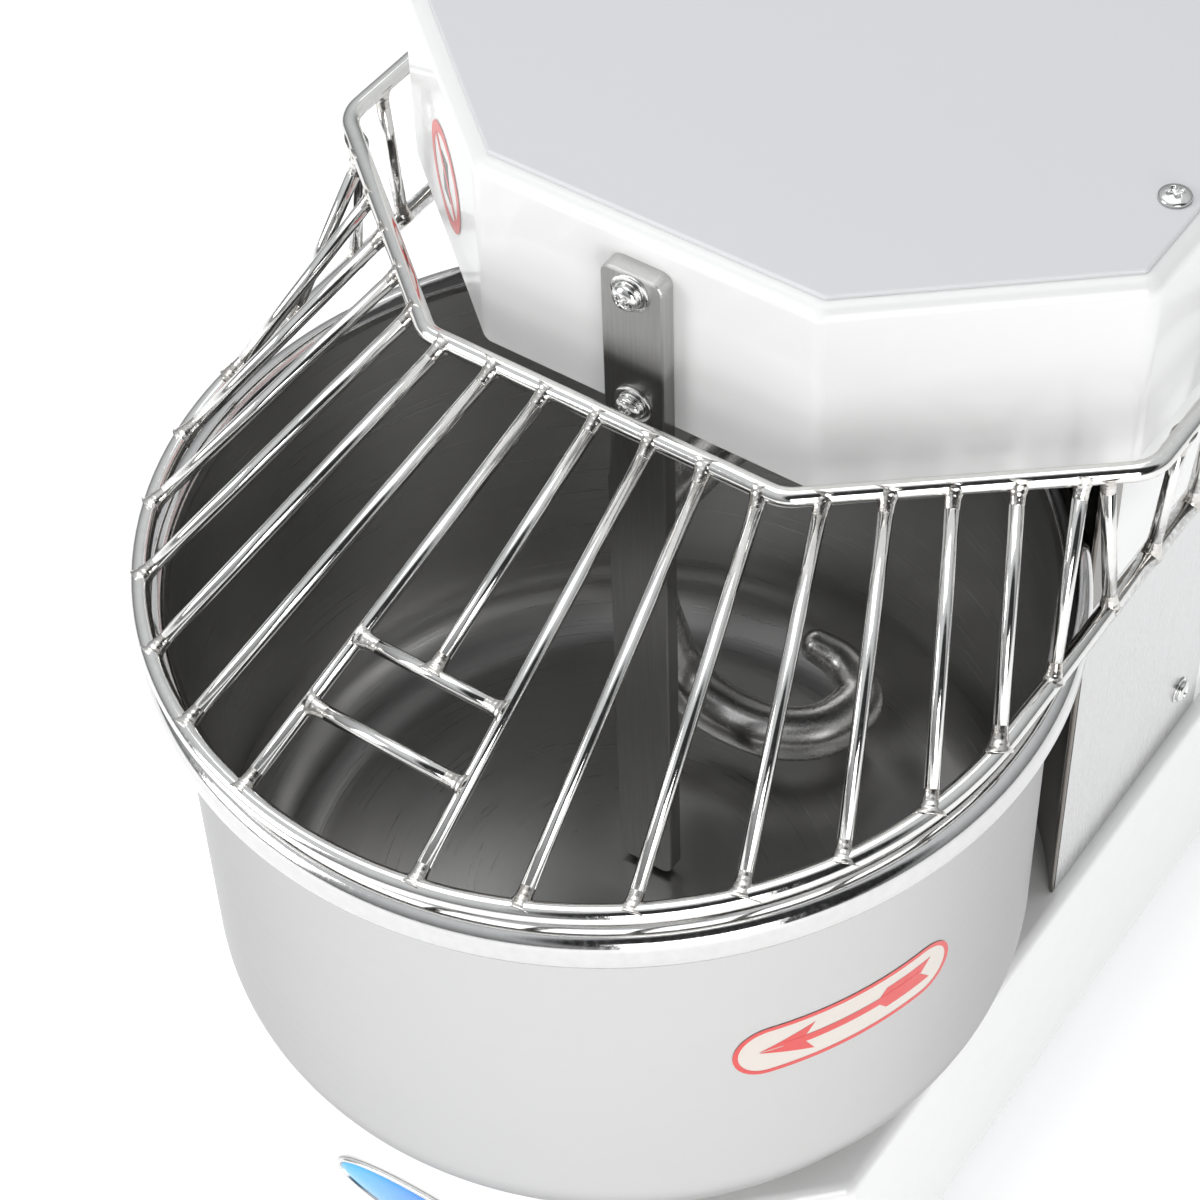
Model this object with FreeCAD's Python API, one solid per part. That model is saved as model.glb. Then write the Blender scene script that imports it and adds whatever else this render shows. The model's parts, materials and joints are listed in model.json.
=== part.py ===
import FreeCAD, Part
import math
import os

os.makedirs("parts", exist_ok=True)
V = FreeCAD.Vector

# Spiral dough mixer, millimetres. +Z up, front towards -Y, origin on the floor.

# ---- base and feet ----
SHEET = 2.5
FOOT_H = 30.0
BASE_TOP = 150.0
BASE_HALF = 164.0
BASE_FRONT = -257.0
BASE_FRONT_HALF = 88.0
BASE_CHAMFER_Y = -180.5
REAR = 290.0
BADGE_HALF_LONG = 60.5
BADGE_HALF_HIGH = 18.0
BADGE_Z = 77.0
FEET_XY = [(-118.0, -172.0), (118.0, -172.0), (-132.0, 258.0), (132.0, 258.0)]

# ---- bowl ----
BOWL_Y = -112.0
BOWL_R = 178.0
BOWL_WALL = 1.5
BOWL_FLOOR = 163.0
BOWL_CORNER = 38.0
BEAD_DEEP = 6.5
BEAD_HIGH = 9.5
BEAD_CENTRE_R = 185.0
BEAD_Z = 376.5
BOWL_SHAFT_R = 15.0

# ---- column ----
COL_HALF = 157.4
COL_NOSE_Y = 3.0
COL_NOSE_R = 1.0
COVER_MID_Y = 90.0
SIDE_PLATE_T = 1.5
SIDE_PLATE_REAR = 139.5
SIDE_PLATE_TOP = 340.0
SIDE_SCREW_Y = 118.3
SIDE_SCREW_Z = (179.8, 312.0)
SHELL_FRONT_Y = 20.0
COL_TOP = 444.0

# ---- head ----
HEAD_HALF = 172.4
HEAD_FRONT_HALF = 77.6
HEAD_FRONT_Y = -86.6
HEAD_CORNER_Y = -7.3
HEAD_RIM_Z = 536.6
LID_TOP = 538.6
LID_INSET = 6.8
PAN_T = 4.0

# ---- breaker bar ----
BAR_W = 28.0
BAR_T = 8.1
BAR_TOP = 523.6
BAR_BOTTOM = 166.5
BAR_SCREW_Z = (514.7, 457.0)

# ---- spiral and drive ----
SPIRAL_Y = -5.0
HOOK_R = 10.8
SPIRAL_SHAFT_R = 15.0
MAIN_X = 70.0
MAIN_Y = 200.0
MAIN_R = 12.5
MOTOR_X = -60.0
MOTOR_Y = 203.0
MOTOR_R = 52.0
CHAIN_PITCH = 12.7
ROLLER_R = 4.25
LINK_HALF = 4.5
SPROCKET_T = 7.0
HEAD_CHAIN_Z = 505.0
BASE_CHAIN_Z = 70.0
RUN = 0.05

# ---- guard ----
GUARD_Y = -117.0
RING_Z = 400.0
RING_R = 184.0
WIRE_R = 4.0
BAR_R = 3.0
UPPER_Z = 469.65
UPPER_FRONT_HALF = 81.9
UPPER_HALF = 189.7
UPPER_CORNER_Y = -28.9
UPPER_STEP = 24.3
LOWER_STEP = 40.1
CROSS_AT = (0.622, 0.785)
SIDE_BAR_Y = (-40.0, -6.3, 26.6)
PIVOT_Y = 88.0
PIVOT_Z = 485.0
PIN_R = 6.0
PLATE_X = 176.0
PLATE_T = 4.0

# ---- controls ----
PANEL_Z = 492.0
PANEL_Y0 = 134.0
PANEL_Y1 = 274.0
PANEL_T = 2.0
START_Y = 152.0
STOP_Y = 182.0
ESTOP_Y = 216.0
KNOB_Y = 253.0


def write(name, shape):
    shape.exportStep("parts/" + name + ".step")


def box(x0, y0, z0, x1, y1, z1):
    return Part.makeBox(x1 - x0, y1 - y0, z1 - z0, V(x0, y0, z0))


def rod_z(x, y, z0, z1, r):
    return Part.makeCylinder(r, z1 - z0, V(x, y, z0), V(0, 0, 1))


def tube_z(x, y, z0, z1, outer, inner):
    return rod_z(x, y, z0, z1, outer).cut(rod_z(x, y, z0 - 1, z1 + 1, inner))


def rod_x(x0, x1, y, z, r):
    return Part.makeCylinder(r, x1 - x0, V(x0, y, z), V(1, 0, 0))


def rod_y(y0, y1, x, z, r):
    return Part.makeCylinder(r, y1 - y0, V(x, y0, z), V(0, 1, 0))


def fuse(shapes):
    first = shapes[0]
    if len(shapes) == 1:
        return first
    return first.multiFuse(shapes[1:]).removeSplitter()


def group(shapes):
    return Part.makeCompound(shapes)


def rounded_wire(points, radius, closed=True):
    """Edges through the points, each corner rounded by the radius given for it."""
    count = len(points)
    radii = radius if isinstance(radius, (list, tuple)) else [radius] * count
    ends = []
    for i, point in enumerate(points):
        if not closed and i in (0, count - 1):
            ends.append((point, None, point))
            continue
        before = (points[i - 1] - point).normalize()
        after = (points[(i + 1) % count] - point).normalize()
        half = before.getAngle(after) / 2.0
        reach = radii[i] / math.tan(half)
        middle = (before + after).normalize()
        depth = radii[i] / math.sin(half) - radii[i]
        ends.append((point + before * reach, point + middle * depth, point + after * reach))
    edges = []
    last = count if closed else count - 1
    for i in range(count):
        start, middle, end = ends[i]
        if middle is not None and radii[i] > 0:
            edges.append(Part.Arc(start, middle, end).toShape())
        if i < last:
            following = ends[(i + 1) % count][0]
            if (following - end).Length > 1e-6:
                edges.append(Part.LineSegment(end, following).toShape())
    return Part.Wire(Part.__sortEdges__(edges))


def outline(points, radius, z):
    return rounded_wire([V(x, y, z) for x, y in points], radius)


def slab(wire, z0, z1):
    face = Part.Face(wire)
    face.translate(V(0, 0, z0 - wire.BoundBox.ZMin))
    return face.extrude(V(0, 0, z1 - z0))


def inset(wire, distance):
    return wire.makeOffset2D(-distance)


def swept(wire, r):
    start = wire.OrderedVertexes[0].Point
    edge = wire.OrderedEdges[0]
    tangent = edge.tangentAt(edge.FirstParameter)
    circle = Part.Wire(Part.Circle(start, tangent, r).toShape())
    return wire.makePipeShell([circle], True, False)


def bead_ring(high, deep):
    inner = BEAD_CENTRE_R - deep
    outer = BEAD_CENTRE_R + deep
    low = BEAD_Z - (high - deep)
    top = BEAD_Z + (high - deep)
    edges = [
        Part.LineSegment(V(outer, 0, low), V(outer, 0, top)).toShape(),
        Part.Arc(V(outer, 0, top), V(BEAD_CENTRE_R, 0, top + deep), V(inner, 0, top)).toShape(),
        Part.LineSegment(V(inner, 0, top), V(inner, 0, low)).toShape(),
        Part.Arc(V(inner, 0, low), V(BEAD_CENTRE_R, 0, low - deep), V(outer, 0, low)).toShape(),
    ]
    return Part.Face(Part.Wire(edges)).revolve(V(0, 0, 0), V(0, 0, 1), 360)


def tapered_bar(points, radii, start, finish, count):
    """Round bar along a curve through the points, with its own radius at each of them."""
    curve = Part.BSplineCurve()
    curve.interpolate(Points=points, InitialTangent=start, FinalTangent=finish)
    stops = [curve.parameter(point) for point in points]
    first = curve.FirstParameter
    step = (curve.LastParameter - first) / count
    side = V(1, 0, 0)
    rings = []
    for i in range(count + 1):
        at = first + step * i
        ahead = curve.tangent(at)[0]
        other = ahead.cross(side).normalize()
        side = other.cross(ahead).normalize()
        k = max(j for j in range(len(stops) - 1) if stops[j] <= at + 1e-9)
        share = (at - stops[k]) / (stops[k + 1] - stops[k])
        r = radii[k] + (radii[k + 1] - radii[k]) * share
        ring = Part.makeCircle(r, V(0, 0, 0), V(0, 0, 1))
        ring.Placement = FreeCAD.Placement(curve.value(at), FreeCAD.Rotation(side, other, ahead, "ZXY"))
        rings.append(Part.Wire(ring))
    return Part.makeLoft(rings, True, False)


def straight_rod(a, b, r):
    return Part.makeCylinder(r, (b - a).Length, a, b - a)


def hexagon(x, y, z0, z1, across):
    points = []
    for k in range(6):
        angle = math.radians(60 * k)
        points.append(V(x + across / 1.732 * math.cos(angle), y + across / 1.732 * math.sin(angle), z0))
    return Part.Face(Part.makePolygon(points + points[:1])).extrude(V(0, 0, z1 - z0))


def pan_head(base, direction, r, height):
    """Domed screw head standing on a face, with a cross recess."""
    head = Part.makeCylinder(r, height, V(0, 0, 0), V(0, 0, 1))
    head = head.makeFillet(height * 0.75, [head.Edges[0]])
    slot = box(-r * 0.5, -r * 0.11, height * 0.5, r * 0.5, r * 0.11, height + 1)
    cross = box(-r * 0.11, -r * 0.5, height * 0.5, r * 0.11, r * 0.5, height + 1)
    head = head.cut(slot).cut(cross)
    head.Placement = FreeCAD.Placement(base, FreeCAD.Rotation(V(0, 0, 1), direction))
    return head


def screw(base, direction, head_r, head_h, shank_r, shank_l):
    head = pan_head(base, direction, head_r, head_h)
    shank = Part.makeCylinder(shank_r, shank_l, base - direction * shank_l, direction)
    return head.fuse(shank)


def pitch_radius(teeth):
    return CHAIN_PITCH / (2.0 * math.sin(math.pi / teeth))


def sprocket(x, y, z_mid, teeth, bore, hub_r, hub_to):
    radius = pitch_radius(teeth)
    z0 = z_mid - SPROCKET_T / 2.0
    disc = rod_z(x, y, z0, z0 + SPROCKET_T, radius + 3.6)
    pockets = []
    for k in range(teeth):
        angle = 2.0 * math.pi * (k + 0.5) / teeth
        cx = x + radius * math.cos(angle)
        cy = y + radius * math.sin(angle)
        pockets.append(rod_z(cx, cy, z0 - 1, z0 + SPROCKET_T + 1, ROLLER_R))
        if teeth < 20:
            ox = x + (radius + 3.4) * math.cos(angle)
            oy = y + (radius + 3.4) * math.sin(angle)
            pockets.append(rod_z(ox, oy, z0 - 1, z0 + SPROCKET_T + 1, ROLLER_R + 0.5))
    disc = disc.cut(group(pockets))
    hub = rod_z(x, y, min(z0, hub_to), max(z0 + SPROCKET_T, hub_to), hub_r)
    whole = disc.fuse(hub).cut(rod_z(x, y, z0 - 60, z0 + 70, bore))
    if teeth > 40:
        windows = []
        for k in range(6):
            angle = math.radians(60 * k)
            windows.append(rod_z(x + 62 * math.cos(angle), y + 62 * math.sin(angle), z0 - 1, z0 + 8, 22))
        whole = whole.cut(group(windows))
    return whole


def belt_face(x1, y1, r1, x2, y2, r2, z):
    """Face bounded by the open-belt loop round two circles."""
    away = V(x2 - x1, y2 - y1, 0)
    distance = away.Length
    heading = math.atan2(away.y, away.x)
    lean = math.acos((r1 - r2) / distance)
    marks = []
    for cx, cy, r, side in ((x1, y1, r1, 1), (x1, y1, r1, -1), (x2, y2, r2, -1), (x2, y2, r2, 1)):
        angle = heading + side * lean
        marks.append(V(cx + r * math.cos(angle), cy + r * math.sin(angle), z))
    back = V(x1 - r1 * math.cos(heading), y1 - r1 * math.sin(heading), z)
    front = V(x2 + r2 * math.cos(heading), y2 + r2 * math.sin(heading), z)
    edges = [
        Part.Arc(marks[0], back, marks[1]).toShape(),
        Part.LineSegment(marks[1], marks[2]).toShape(),
        Part.Arc(marks[2], front, marks[3]).toShape(),
        Part.LineSegment(marks[3], marks[0]).toShape(),
    ]
    return Part.Face(Part.Wire(edges)), marks


def chain(x1, y1, n1, x2, y2, n2, z_mid):
    """Roller chain: two rows of side plates over and under the teeth, rollers in the free runs."""
    r1 = pitch_radius(n1)
    r2 = pitch_radius(n2)
    gap = SPROCKET_T / 2.0 + 0.6
    solids = []
    for z0 in (z_mid + gap, z_mid - gap - 1.6):
        outer = belt_face(x1, y1, r1 + LINK_HALF, x2, y2, r2 + LINK_HALF, z0)[0]
        inner = belt_face(x1, y1, r1 - LINK_HALF, x2, y2, r2 - LINK_HALF, z0)[0]
        solids.append(outer.extrude(V(0, 0, 1.6)).cut(inner.extrude(V(0, 0, 1.6))))
    marks = belt_face(x1, y1, r1, x2, y2, r2, z_mid)[1]
    clear1 = math.sqrt(16.0 * r1 + 64.0) + 2.0
    clear2 = math.sqrt(16.0 * r2 + 64.0) + 2.0
    for start, end in ((marks[1], marks[2]), (marks[0], marks[3])):
        length = (end - start).Length
        count = int((length - clear1 - clear2) / CHAIN_PITCH)
        for k in range(count + 1):
            spot = start + (end - start) * ((clear1 + k * CHAIN_PITCH) / length)
            solids.append(rod_z(spot.x, spot.y, z_mid - gap - 0.2, z_mid + gap + 0.2, 4.0))
    return fuse(solids)


def bearing(x, y, z0, z1, shaft_r, outer_r):
    """Closed ball bearing with a groove between the two races on each face."""
    ring = tube_z(x, y, z0, z1, outer_r, shaft_r + RUN)
    middle = (outer_r + shaft_r) / 2.0
    groove = tube_z(x, y, z0 - 1, z0 + 1.0, middle + 4, middle - 4)
    groove_top = tube_z(x, y, z1 - 1.0, z1 + 1, middle + 4, middle - 4)
    return ring.cut(groove).cut(groove_top)


def flange_housing(x, y, z0, z1, outer_r, inner_r, flange_z, flange_r, bolt_r):
    body = rod_z(x, y, z0, z1, outer_r)
    flange = rod_z(x, y, flange_z, flange_z + 6, flange_r)
    whole = body.fuse(flange).cut(rod_z(x, y, z0 - 1, z1 + 1, inner_r))
    holes = []
    for k in range(4):
        angle = math.radians(45 + 90 * k)
        reach = (outer_r + flange_r) / 2.0
        holes.append(rod_z(x + reach * math.cos(angle), y + reach * math.sin(angle),
                           flange_z - 1, flange_z + 7, bolt_r))
    return whole.cut(group(holes))


def base_points():
    return [(-BASE_FRONT_HALF, BASE_FRONT), (BASE_FRONT_HALF, BASE_FRONT),
            (BASE_HALF, BASE_CHAMFER_Y), (BASE_HALF, REAR),
            (-BASE_HALF, REAR), (-BASE_HALF, BASE_CHAMFER_Y)]


def head_points():
    return [(-HEAD_FRONT_HALF, HEAD_FRONT_Y), (HEAD_FRONT_HALF, HEAD_FRONT_Y),
            (HEAD_HALF, HEAD_CORNER_Y), (HEAD_HALF, REAR),
            (-HEAD_HALF, REAR), (-HEAD_HALF, HEAD_CORNER_Y)]


def top_edges(shape, z):
    found = []
    for edge in shape.Edges:
        size = edge.BoundBox
        if abs(size.ZMin - z) < 0.01 and abs(size.ZMax - z) < 0.01:
            found.append(edge)
    return found


# ================= base =================
base_wire = outline(base_points(), [7, 7, 7, 14, 14, 7], FOOT_H)
base_solid = slab(base_wire, FOOT_H, BASE_TOP)
base_solid = base_solid.makeFillet(5.0, top_edges(base_solid, BASE_TOP))
base_hollow = slab(inset(base_wire, SHEET), FOOT_H - 1, BASE_TOP - SHEET)
base_shell = base_solid.cut(base_hollow)
base_shell = base_shell.cut(rod_z(0, BOWL_Y, BASE_TOP - 10, BASE_TOP + 10, 46.0))
base_shell = base_shell.cut(box(-118, 118, BASE_TOP - 10, 118, 268, BASE_TOP + 10))
base_shell = base_shell.cut(rod_y(REAR - 10, REAR + 10, -110, 96, 8.0))
write("base_shell", base_shell)

bottom_plate = slab(inset(base_wire, SHEET + 0.3), FOOT_H, FOOT_H + 3)
bottom_holes = [rod_z(x, y, FOOT_H - 5, FOOT_H + 10, 5.0) for x, y in FEET_XY]
bottom_plate = bottom_plate.cut(group(bottom_holes))
write("base_bottom_plate", bottom_plate)

feet = []
studs = []
for fx, fy in FEET_XY:
    pad = Part.makeCone(20.0, 24.0, 8.0, V(fx, fy, 0), V(0, 0, 1))
    pad = pad.fuse(Part.makeCone(24.0, 19.0, 16.0, V(fx, fy, 8), V(0, 0, 1)))
    pad = pad.cut(rod_z(fx, fy, 8, 30, 5.0))
    feet.append(pad)
    stud = rod_z(fx, fy, 8, 48, 5.0).fuse(hexagon(fx, fy, 24, 30, 17))
    studs.append(stud.fuse(hexagon(fx, fy, 33, 41, 17)))
write("rubber_feet", group(feet))
write("foot_studs", group(studs))

badge = Part.Ellipse(V(0, 0, 0), BADGE_HALF_LONG, BADGE_HALF_HIGH).toShape()
badge = Part.Face(Part.Wire(badge)).extrude(V(0, 0, 1.5))
badge.Placement = FreeCAD.Placement(V(0, BASE_FRONT, BADGE_Z), FreeCAD.Rotation(V(1, 0, 0), 90))
write("badge_plate", badge)

gland_nut = Part.Face(Part.makePolygon(
    [V(-110 + 12.5 * math.cos(math.radians(60 * k)), REAR, 96 + 12.5 * math.sin(math.radians(60 * k)))
     for k in range(7)])).extrude(V(0, 7, 0))
gland = gland_nut.fuse(rod_y(REAR - 9, REAR, -110, 96, 8.0))
gland = gland.fuse(Part.makeCone(10.5, 8.0, 8.0, V(-110, REAR + 7, 96), V(0, 1, 0)))
gland = gland.cut(rod_y(REAR - 12, REAR + 20, -110, 96, 4.5))
write("cable_gland", gland)

# ================= column =================
cover_centre_y = ((COVER_MID_Y + COL_NOSE_R) ** 2 - (COL_HALF - COL_NOSE_R) ** 2 - COL_NOSE_Y ** 2)
cover_centre_y = cover_centre_y / (2.0 * (COVER_MID_Y + COL_NOSE_R - COL_NOSE_Y))
cover_r = COVER_MID_Y - cover_centre_y
nose_x = COL_HALF - COL_NOSE_R
column_z0 = BASE_TOP
cover_z0 = BASE_TOP + 1.0
cover_z1 = COL_TOP - 0.5
band = tube_z(0, cover_centre_y, cover_z0, cover_z1, cover_r + 1.5, cover_r)
band_x = COL_HALF - SIDE_PLATE_T - 0.1
band = band.common(box(-band_x, COL_NOSE_Y, cover_z0, band_x, 200, cover_z1))
cover_parts = [band]
for side in (-1, 1):
    cover_parts.append(rod_z(side * nose_x, COL_NOSE_Y, cover_z0, cover_z1, COL_NOSE_R))
    flange_x = sorted((side * (band_x - 1.3), side * band_x))
    cover_parts.append(box(flange_x[0], COL_NOSE_Y, cover_z0, flange_x[1], COL_NOSE_Y + 13, cover_z1))
    wing_x = sorted((side * (band_x - 1.3), side * COL_HALF))
    cover_parts.append(box(wing_x[0], COL_NOSE_Y, SIDE_PLATE_TOP + 0.4,
                           wing_x[1], SHELL_FRONT_Y - 0.3, cover_z1))
front_cover = fuse(cover_parts)
front_cover = front_cover.cut(rod_z(0, BOWL_Y, cover_z0 - 1, cover_z1 + 1, 193.0))
write("column_front_cover", front_cover)

side_screws = []
for side, name in ((-1, "side_plate_left"), (1, "side_plate_right")):
    x0, x1 = sorted((side * (COL_HALF - SIDE_PLATE_T), side * COL_HALF))
    plate = box(x0, COL_NOSE_Y + COL_NOSE_R + 0.3, BASE_TOP + 0.5, x1, SIDE_PLATE_REAR, SIDE_PLATE_TOP)
    for z in SIDE_SCREW_Z:
        plate = plate.cut(rod_x(x0 - 1, x1 + 1, SIDE_SCREW_Y, z, 2.5))
        side_screws.append(screw(V(side * COL_HALF, SIDE_SCREW_Y, z), V(side, 0, 0), 5.5, 3.0, 2.5, 4.0))
    write(name, plate)

column_points = [(-COL_HALF, SHELL_FRONT_Y), (COL_HALF, SHELL_FRONT_Y), (COL_HALF, REAR), (-COL_HALF, REAR)]
column_solid = slab(outline(column_points, [0.5, 0.5, 14, 14], column_z0), column_z0, COL_TOP)
column_inner = slab(outline([(-COL_HALF + 2.5, 0), (COL_HALF - 2.5, 0), (COL_HALF - 2.5, REAR - 2.5),
                             (-COL_HALF + 2.5, REAR - 2.5)], [0.5, 0.5, 11.5, 11.5], 0),
                     column_z0 - 1, COL_TOP + 1)
wall_x = COL_HALF - SIDE_PLATE_T
inner_wall = box(-wall_x, SHELL_FRONT_Y, column_z0, wall_x, SIDE_PLATE_REAR + 12, COL_TOP)
inner_wall = inner_wall.cut(box(-COL_HALF + 4, 0, column_z0 - 1, COL_HALF - 4, 200, COL_TOP + 1))
recess = box(-200, 0, column_z0 - 1, 200, SIDE_PLATE_REAR, SIDE_PLATE_TOP + 0.4)
column_shell = column_solid.cut(column_inner)
column_shell = column_shell.cut(recess).fuse(inner_wall)
column_shell = column_shell.cut(box(-118, REAR - 20, 172, 118, REAR + 20, 422))
for side in (-1, 1):
    for z in SIDE_SCREW_Z:
        column_shell = column_shell.cut(rod_x(side * 155 - 6, side * 155 + 6, SIDE_SCREW_Y, z, 2.5))
cover_screws_at = [(x, z) for x in (-126.0, 126.0) for z in (164.0, 297.0, 430.0)]
for x, z in cover_screws_at:
    column_shell = column_shell.cut(rod_y(REAR - 6, REAR + 6, x, z, 2.0))
write("column_shell", column_shell)

rear_cover = box(-134, REAR, 156, 134, REAR + 1.5, 438)
louvres = []
for k in range(9):
    z = 330 + 9.0 * k
    louvres.append(box(-70, REAR - 1, z, 70, REAR + 3, z + 3.5))
    louvres.append(box(-70, REAR - 1, z - 146, 70, REAR + 3, z - 142.5))
rear_cover = rear_cover.cut(group(louvres))
rear_cover = rear_cover.cut(group([rod_y(REAR - 1, REAR + 3, x, z, 2.0) for x, z in cover_screws_at]))
write("rear_cover", rear_cover)
rear_screws = [screw(V(x, REAR + 1.5, z), V(0, 1, 0), 4.5, 2.6, 2.0, 5.0) for x, z in cover_screws_at]
write("cover_screws", group(side_screws + rear_screws))

# ================= head =================
head_wire = outline(head_points(), [9, 9, 9, 16, 16, 9], COL_TOP)
head_solid = slab(head_wire, COL_TOP, HEAD_RIM_Z)
head_solid = head_solid.makeFillet(LID_INSET - 0.8, top_edges(head_solid, HEAD_RIM_Z))
head_solid = head_solid.makeFillet(1.5, top_edges(head_solid, COL_TOP))
head_hollow = slab(inset(head_wire, SHEET), COL_TOP - 1, HEAD_RIM_Z - SHEET)
head_mouth = slab(inset(head_wire, 22.0), HEAD_RIM_Z - 10, HEAD_RIM_Z + 10)
head_shell = head_solid.cut(head_hollow).cut(head_mouth)
head_shell = head_shell.cut(group([rod_x(-200, -150, PIVOT_Y, PIVOT_Z, PIN_R + RUN),
                                   rod_x(150, 200, PIVOT_Y, PIVOT_Z, PIN_R + RUN)]))
control_holes = [
    rod_x(150, 200, START_Y, PANEL_Z, 6.4),
    rod_x(150, 200, STOP_Y, PANEL_Z, 6.4),
    rod_x(150, 200, ESTOP_Y, PANEL_Z, 8.4),
    rod_x(150, 200, KNOB_Y, PANEL_Z, 4.4),
]
head_shell = head_shell.cut(group(control_holes))
bar_holes = [rod_y(HEAD_FRONT_Y - 1, HEAD_FRONT_Y + 6, 0, z, 3.0) for z in BAR_SCREW_Z]
head_shell = head_shell.cut(group(bar_holes))
lid_wire = inset(head_wire, LID_INSET)
lid_screw_xy = [(-155.2, 36.6), (155.2, 36.6), (-155.2, 262.0), (155.2, 262.0)]
lid_holes = [rod_z(x, y, HEAD_RIM_Z - 5, LID_TOP + 5, 2.5) for x, y in lid_screw_xy]
head_shell = head_shell.cut(group(lid_holes))
write("head_shell", head_shell)

lid = slab(lid_wire, HEAD_RIM_Z, LID_TOP)
lid = lid.makeFillet(0.8, top_edges(lid, LID_TOP))
lid = lid.cut(group(lid_holes))
write("head_lid", lid)
lid_screws = [screw(V(x, y, LID_TOP), V(0, 0, 1), 6.6, 3.2, 2.5, 6.0) for x, y in lid_screw_xy]
write("lid_screws", group(lid_screws))

pan = slab(inset(head_wire, SHEET + 0.3), COL_TOP, COL_TOP + PAN_T)
pan = pan.cut(rod_z(0, SPIRAL_Y, COL_TOP - 5, COL_TOP + 9, 24.0))
pan = pan.cut(rod_z(MAIN_X, MAIN_Y, COL_TOP - 5, COL_TOP + 9, 20.0))
write("head_pan", pan)

# ================= breaker bar =================
bar = box(-BAR_W / 2, HEAD_FRONT_Y - BAR_T, BAR_BOTTOM, BAR_W / 2, HEAD_FRONT_Y, BAR_TOP)
round_edges = []
for edge in bar.Edges:
    size = edge.BoundBox
    if size.YLength > 7:
        round_edges.append(edge)
bar = bar.makeFillet(5.0, round_edges)
bevel = Part.Face(Part.makePolygon([
    V(-BAR_W / 2 - 1, HEAD_FRONT_Y - BAR_T - 1, 0), V(-BAR_W / 2 + 4, HEAD_FRONT_Y - BAR_T - 1, 0),
    V(-BAR_W / 2 + 4, HEAD_FRONT_Y - BAR_T, 0), V(-BAR_W / 2, HEAD_FRONT_Y - BAR_T + 4, 0),
    V(-BAR_W / 2 - 1, HEAD_FRONT_Y - BAR_T + 4, 0), V(-BAR_W / 2 - 1, HEAD_FRONT_Y - BAR_T - 1, 0)]))
bar = bar.cut(bevel.extrude(V(0, 0, 436.0)))
bar = bar.cut(group([rod_y(-110, -80, 0, z, 3.0) for z in BAR_SCREW_Z]))
write("breaker_bar", bar)
bar_front = HEAD_FRONT_Y - BAR_T
washers = []
bar_screws = []
for z in BAR_SCREW_Z:
    washers.append(rod_y(bar_front - 1.4, bar_front, 0, z, 8.5).cut(rod_y(-120, -80, 0, z, 3.0)))
    bar_screws.append(screw(V(0, bar_front - 1.4, z), V(0, -1, 0), 5.8, 4.0, 3.0, 15.0))
write("breaker_bar_fasteners", group(washers + bar_screws))

# ================= bowl and its drive =================
outer_r = BOWL_R + BOWL_WALL
bottom_z = BOWL_FLOOR - 2.0
corner = BOWL_CORNER
outer_corner = corner + BOWL_WALL
slant = math.sqrt(0.5)
profile = [
    Part.LineSegment(V(0, 0, bottom_z), V(outer_r - outer_corner, 0, bottom_z)).toShape(),
    Part.Arc(V(outer_r - outer_corner, 0, bottom_z),
             V(outer_r - outer_corner * (1 - slant), 0, bottom_z + outer_corner * (1 - slant)),
             V(outer_r, 0, bottom_z + outer_corner)).toShape(),
    Part.LineSegment(V(outer_r, 0, bottom_z + outer_corner), V(outer_r, 0, BEAD_Z)).toShape(),
    Part.LineSegment(V(outer_r, 0, BEAD_Z), V(BOWL_R, 0, BEAD_Z)).toShape(),
    Part.LineSegment(V(BOWL_R, 0, BEAD_Z), V(BOWL_R, 0, BOWL_FLOOR + corner)).toShape(),
    Part.Arc(V(BOWL_R, 0, BOWL_FLOOR + corner),
             V(BOWL_R - corner * (1 - slant), 0, BOWL_FLOOR + corner * (1 - slant)),
             V(BOWL_R - corner, 0, BOWL_FLOOR)).toShape(),
    Part.LineSegment(V(BOWL_R - corner, 0, BOWL_FLOOR), V(0, 0, BOWL_FLOOR)).toShape(),
    Part.LineSegment(V(0, 0, BOWL_FLOOR), V(0, 0, bottom_z)).toShape(),
]
bowl = Part.Face(Part.Wire(profile)).revolve(V(0, 0, 0), V(0, 0, 1), 360)
bead = bead_ring(BEAD_HIGH, BEAD_DEEP).cut(bead_ring(BEAD_HIGH - 1.5, BEAD_DEEP - 1.5))
bowl = bowl.fuse(bead)
bowl.translate(V(0, BOWL_Y, 0))
write("bowl", bowl)

hub = rod_z(0, BOWL_Y, BASE_TOP + 1.5, bottom_z, 62.0)
hub = hub.fuse(rod_z(0, BOWL_Y, BASE_TOP - 6, BASE_TOP + 1.5, 40.0))
hub = hub.cut(rod_z(0, BOWL_Y, BASE_TOP - 8, bottom_z - 2, BOWL_SHAFT_R))
write("bowl_hub", hub)
bowl_shaft = rod_z(0, BOWL_Y, 52, bottom_z - 2, BOWL_SHAFT_R)
write("bowl_shaft", bowl_shaft)
bowl_housing = flange_housing(0, BOWL_Y, 88, BASE_TOP - SHEET, 45.0, 31.0, BASE_TOP - SHEET - 6, 72.0, 4.0)
bowl_housing = bowl_housing.cut(rod_z(0, BOWL_Y, 142.5, 160, 41.0))
write("bowl_bearing_housing", bowl_housing)
write("bowl_sprocket", sprocket(0, BOWL_Y, BASE_CHAIN_Z, 54, BOWL_SHAFT_R, 26.0, 86.0))
bowl_nut = hexagon(0, BOWL_Y, 52, 62, 46).cut(rod_z(0, BOWL_Y, 50, 70, BOWL_SHAFT_R))
write("bowl_shaft_nut", bowl_nut)
write("bowl_chain", chain(0, BOWL_Y, 54, MAIN_X, MAIN_Y, 9, BASE_CHAIN_Z))

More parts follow.
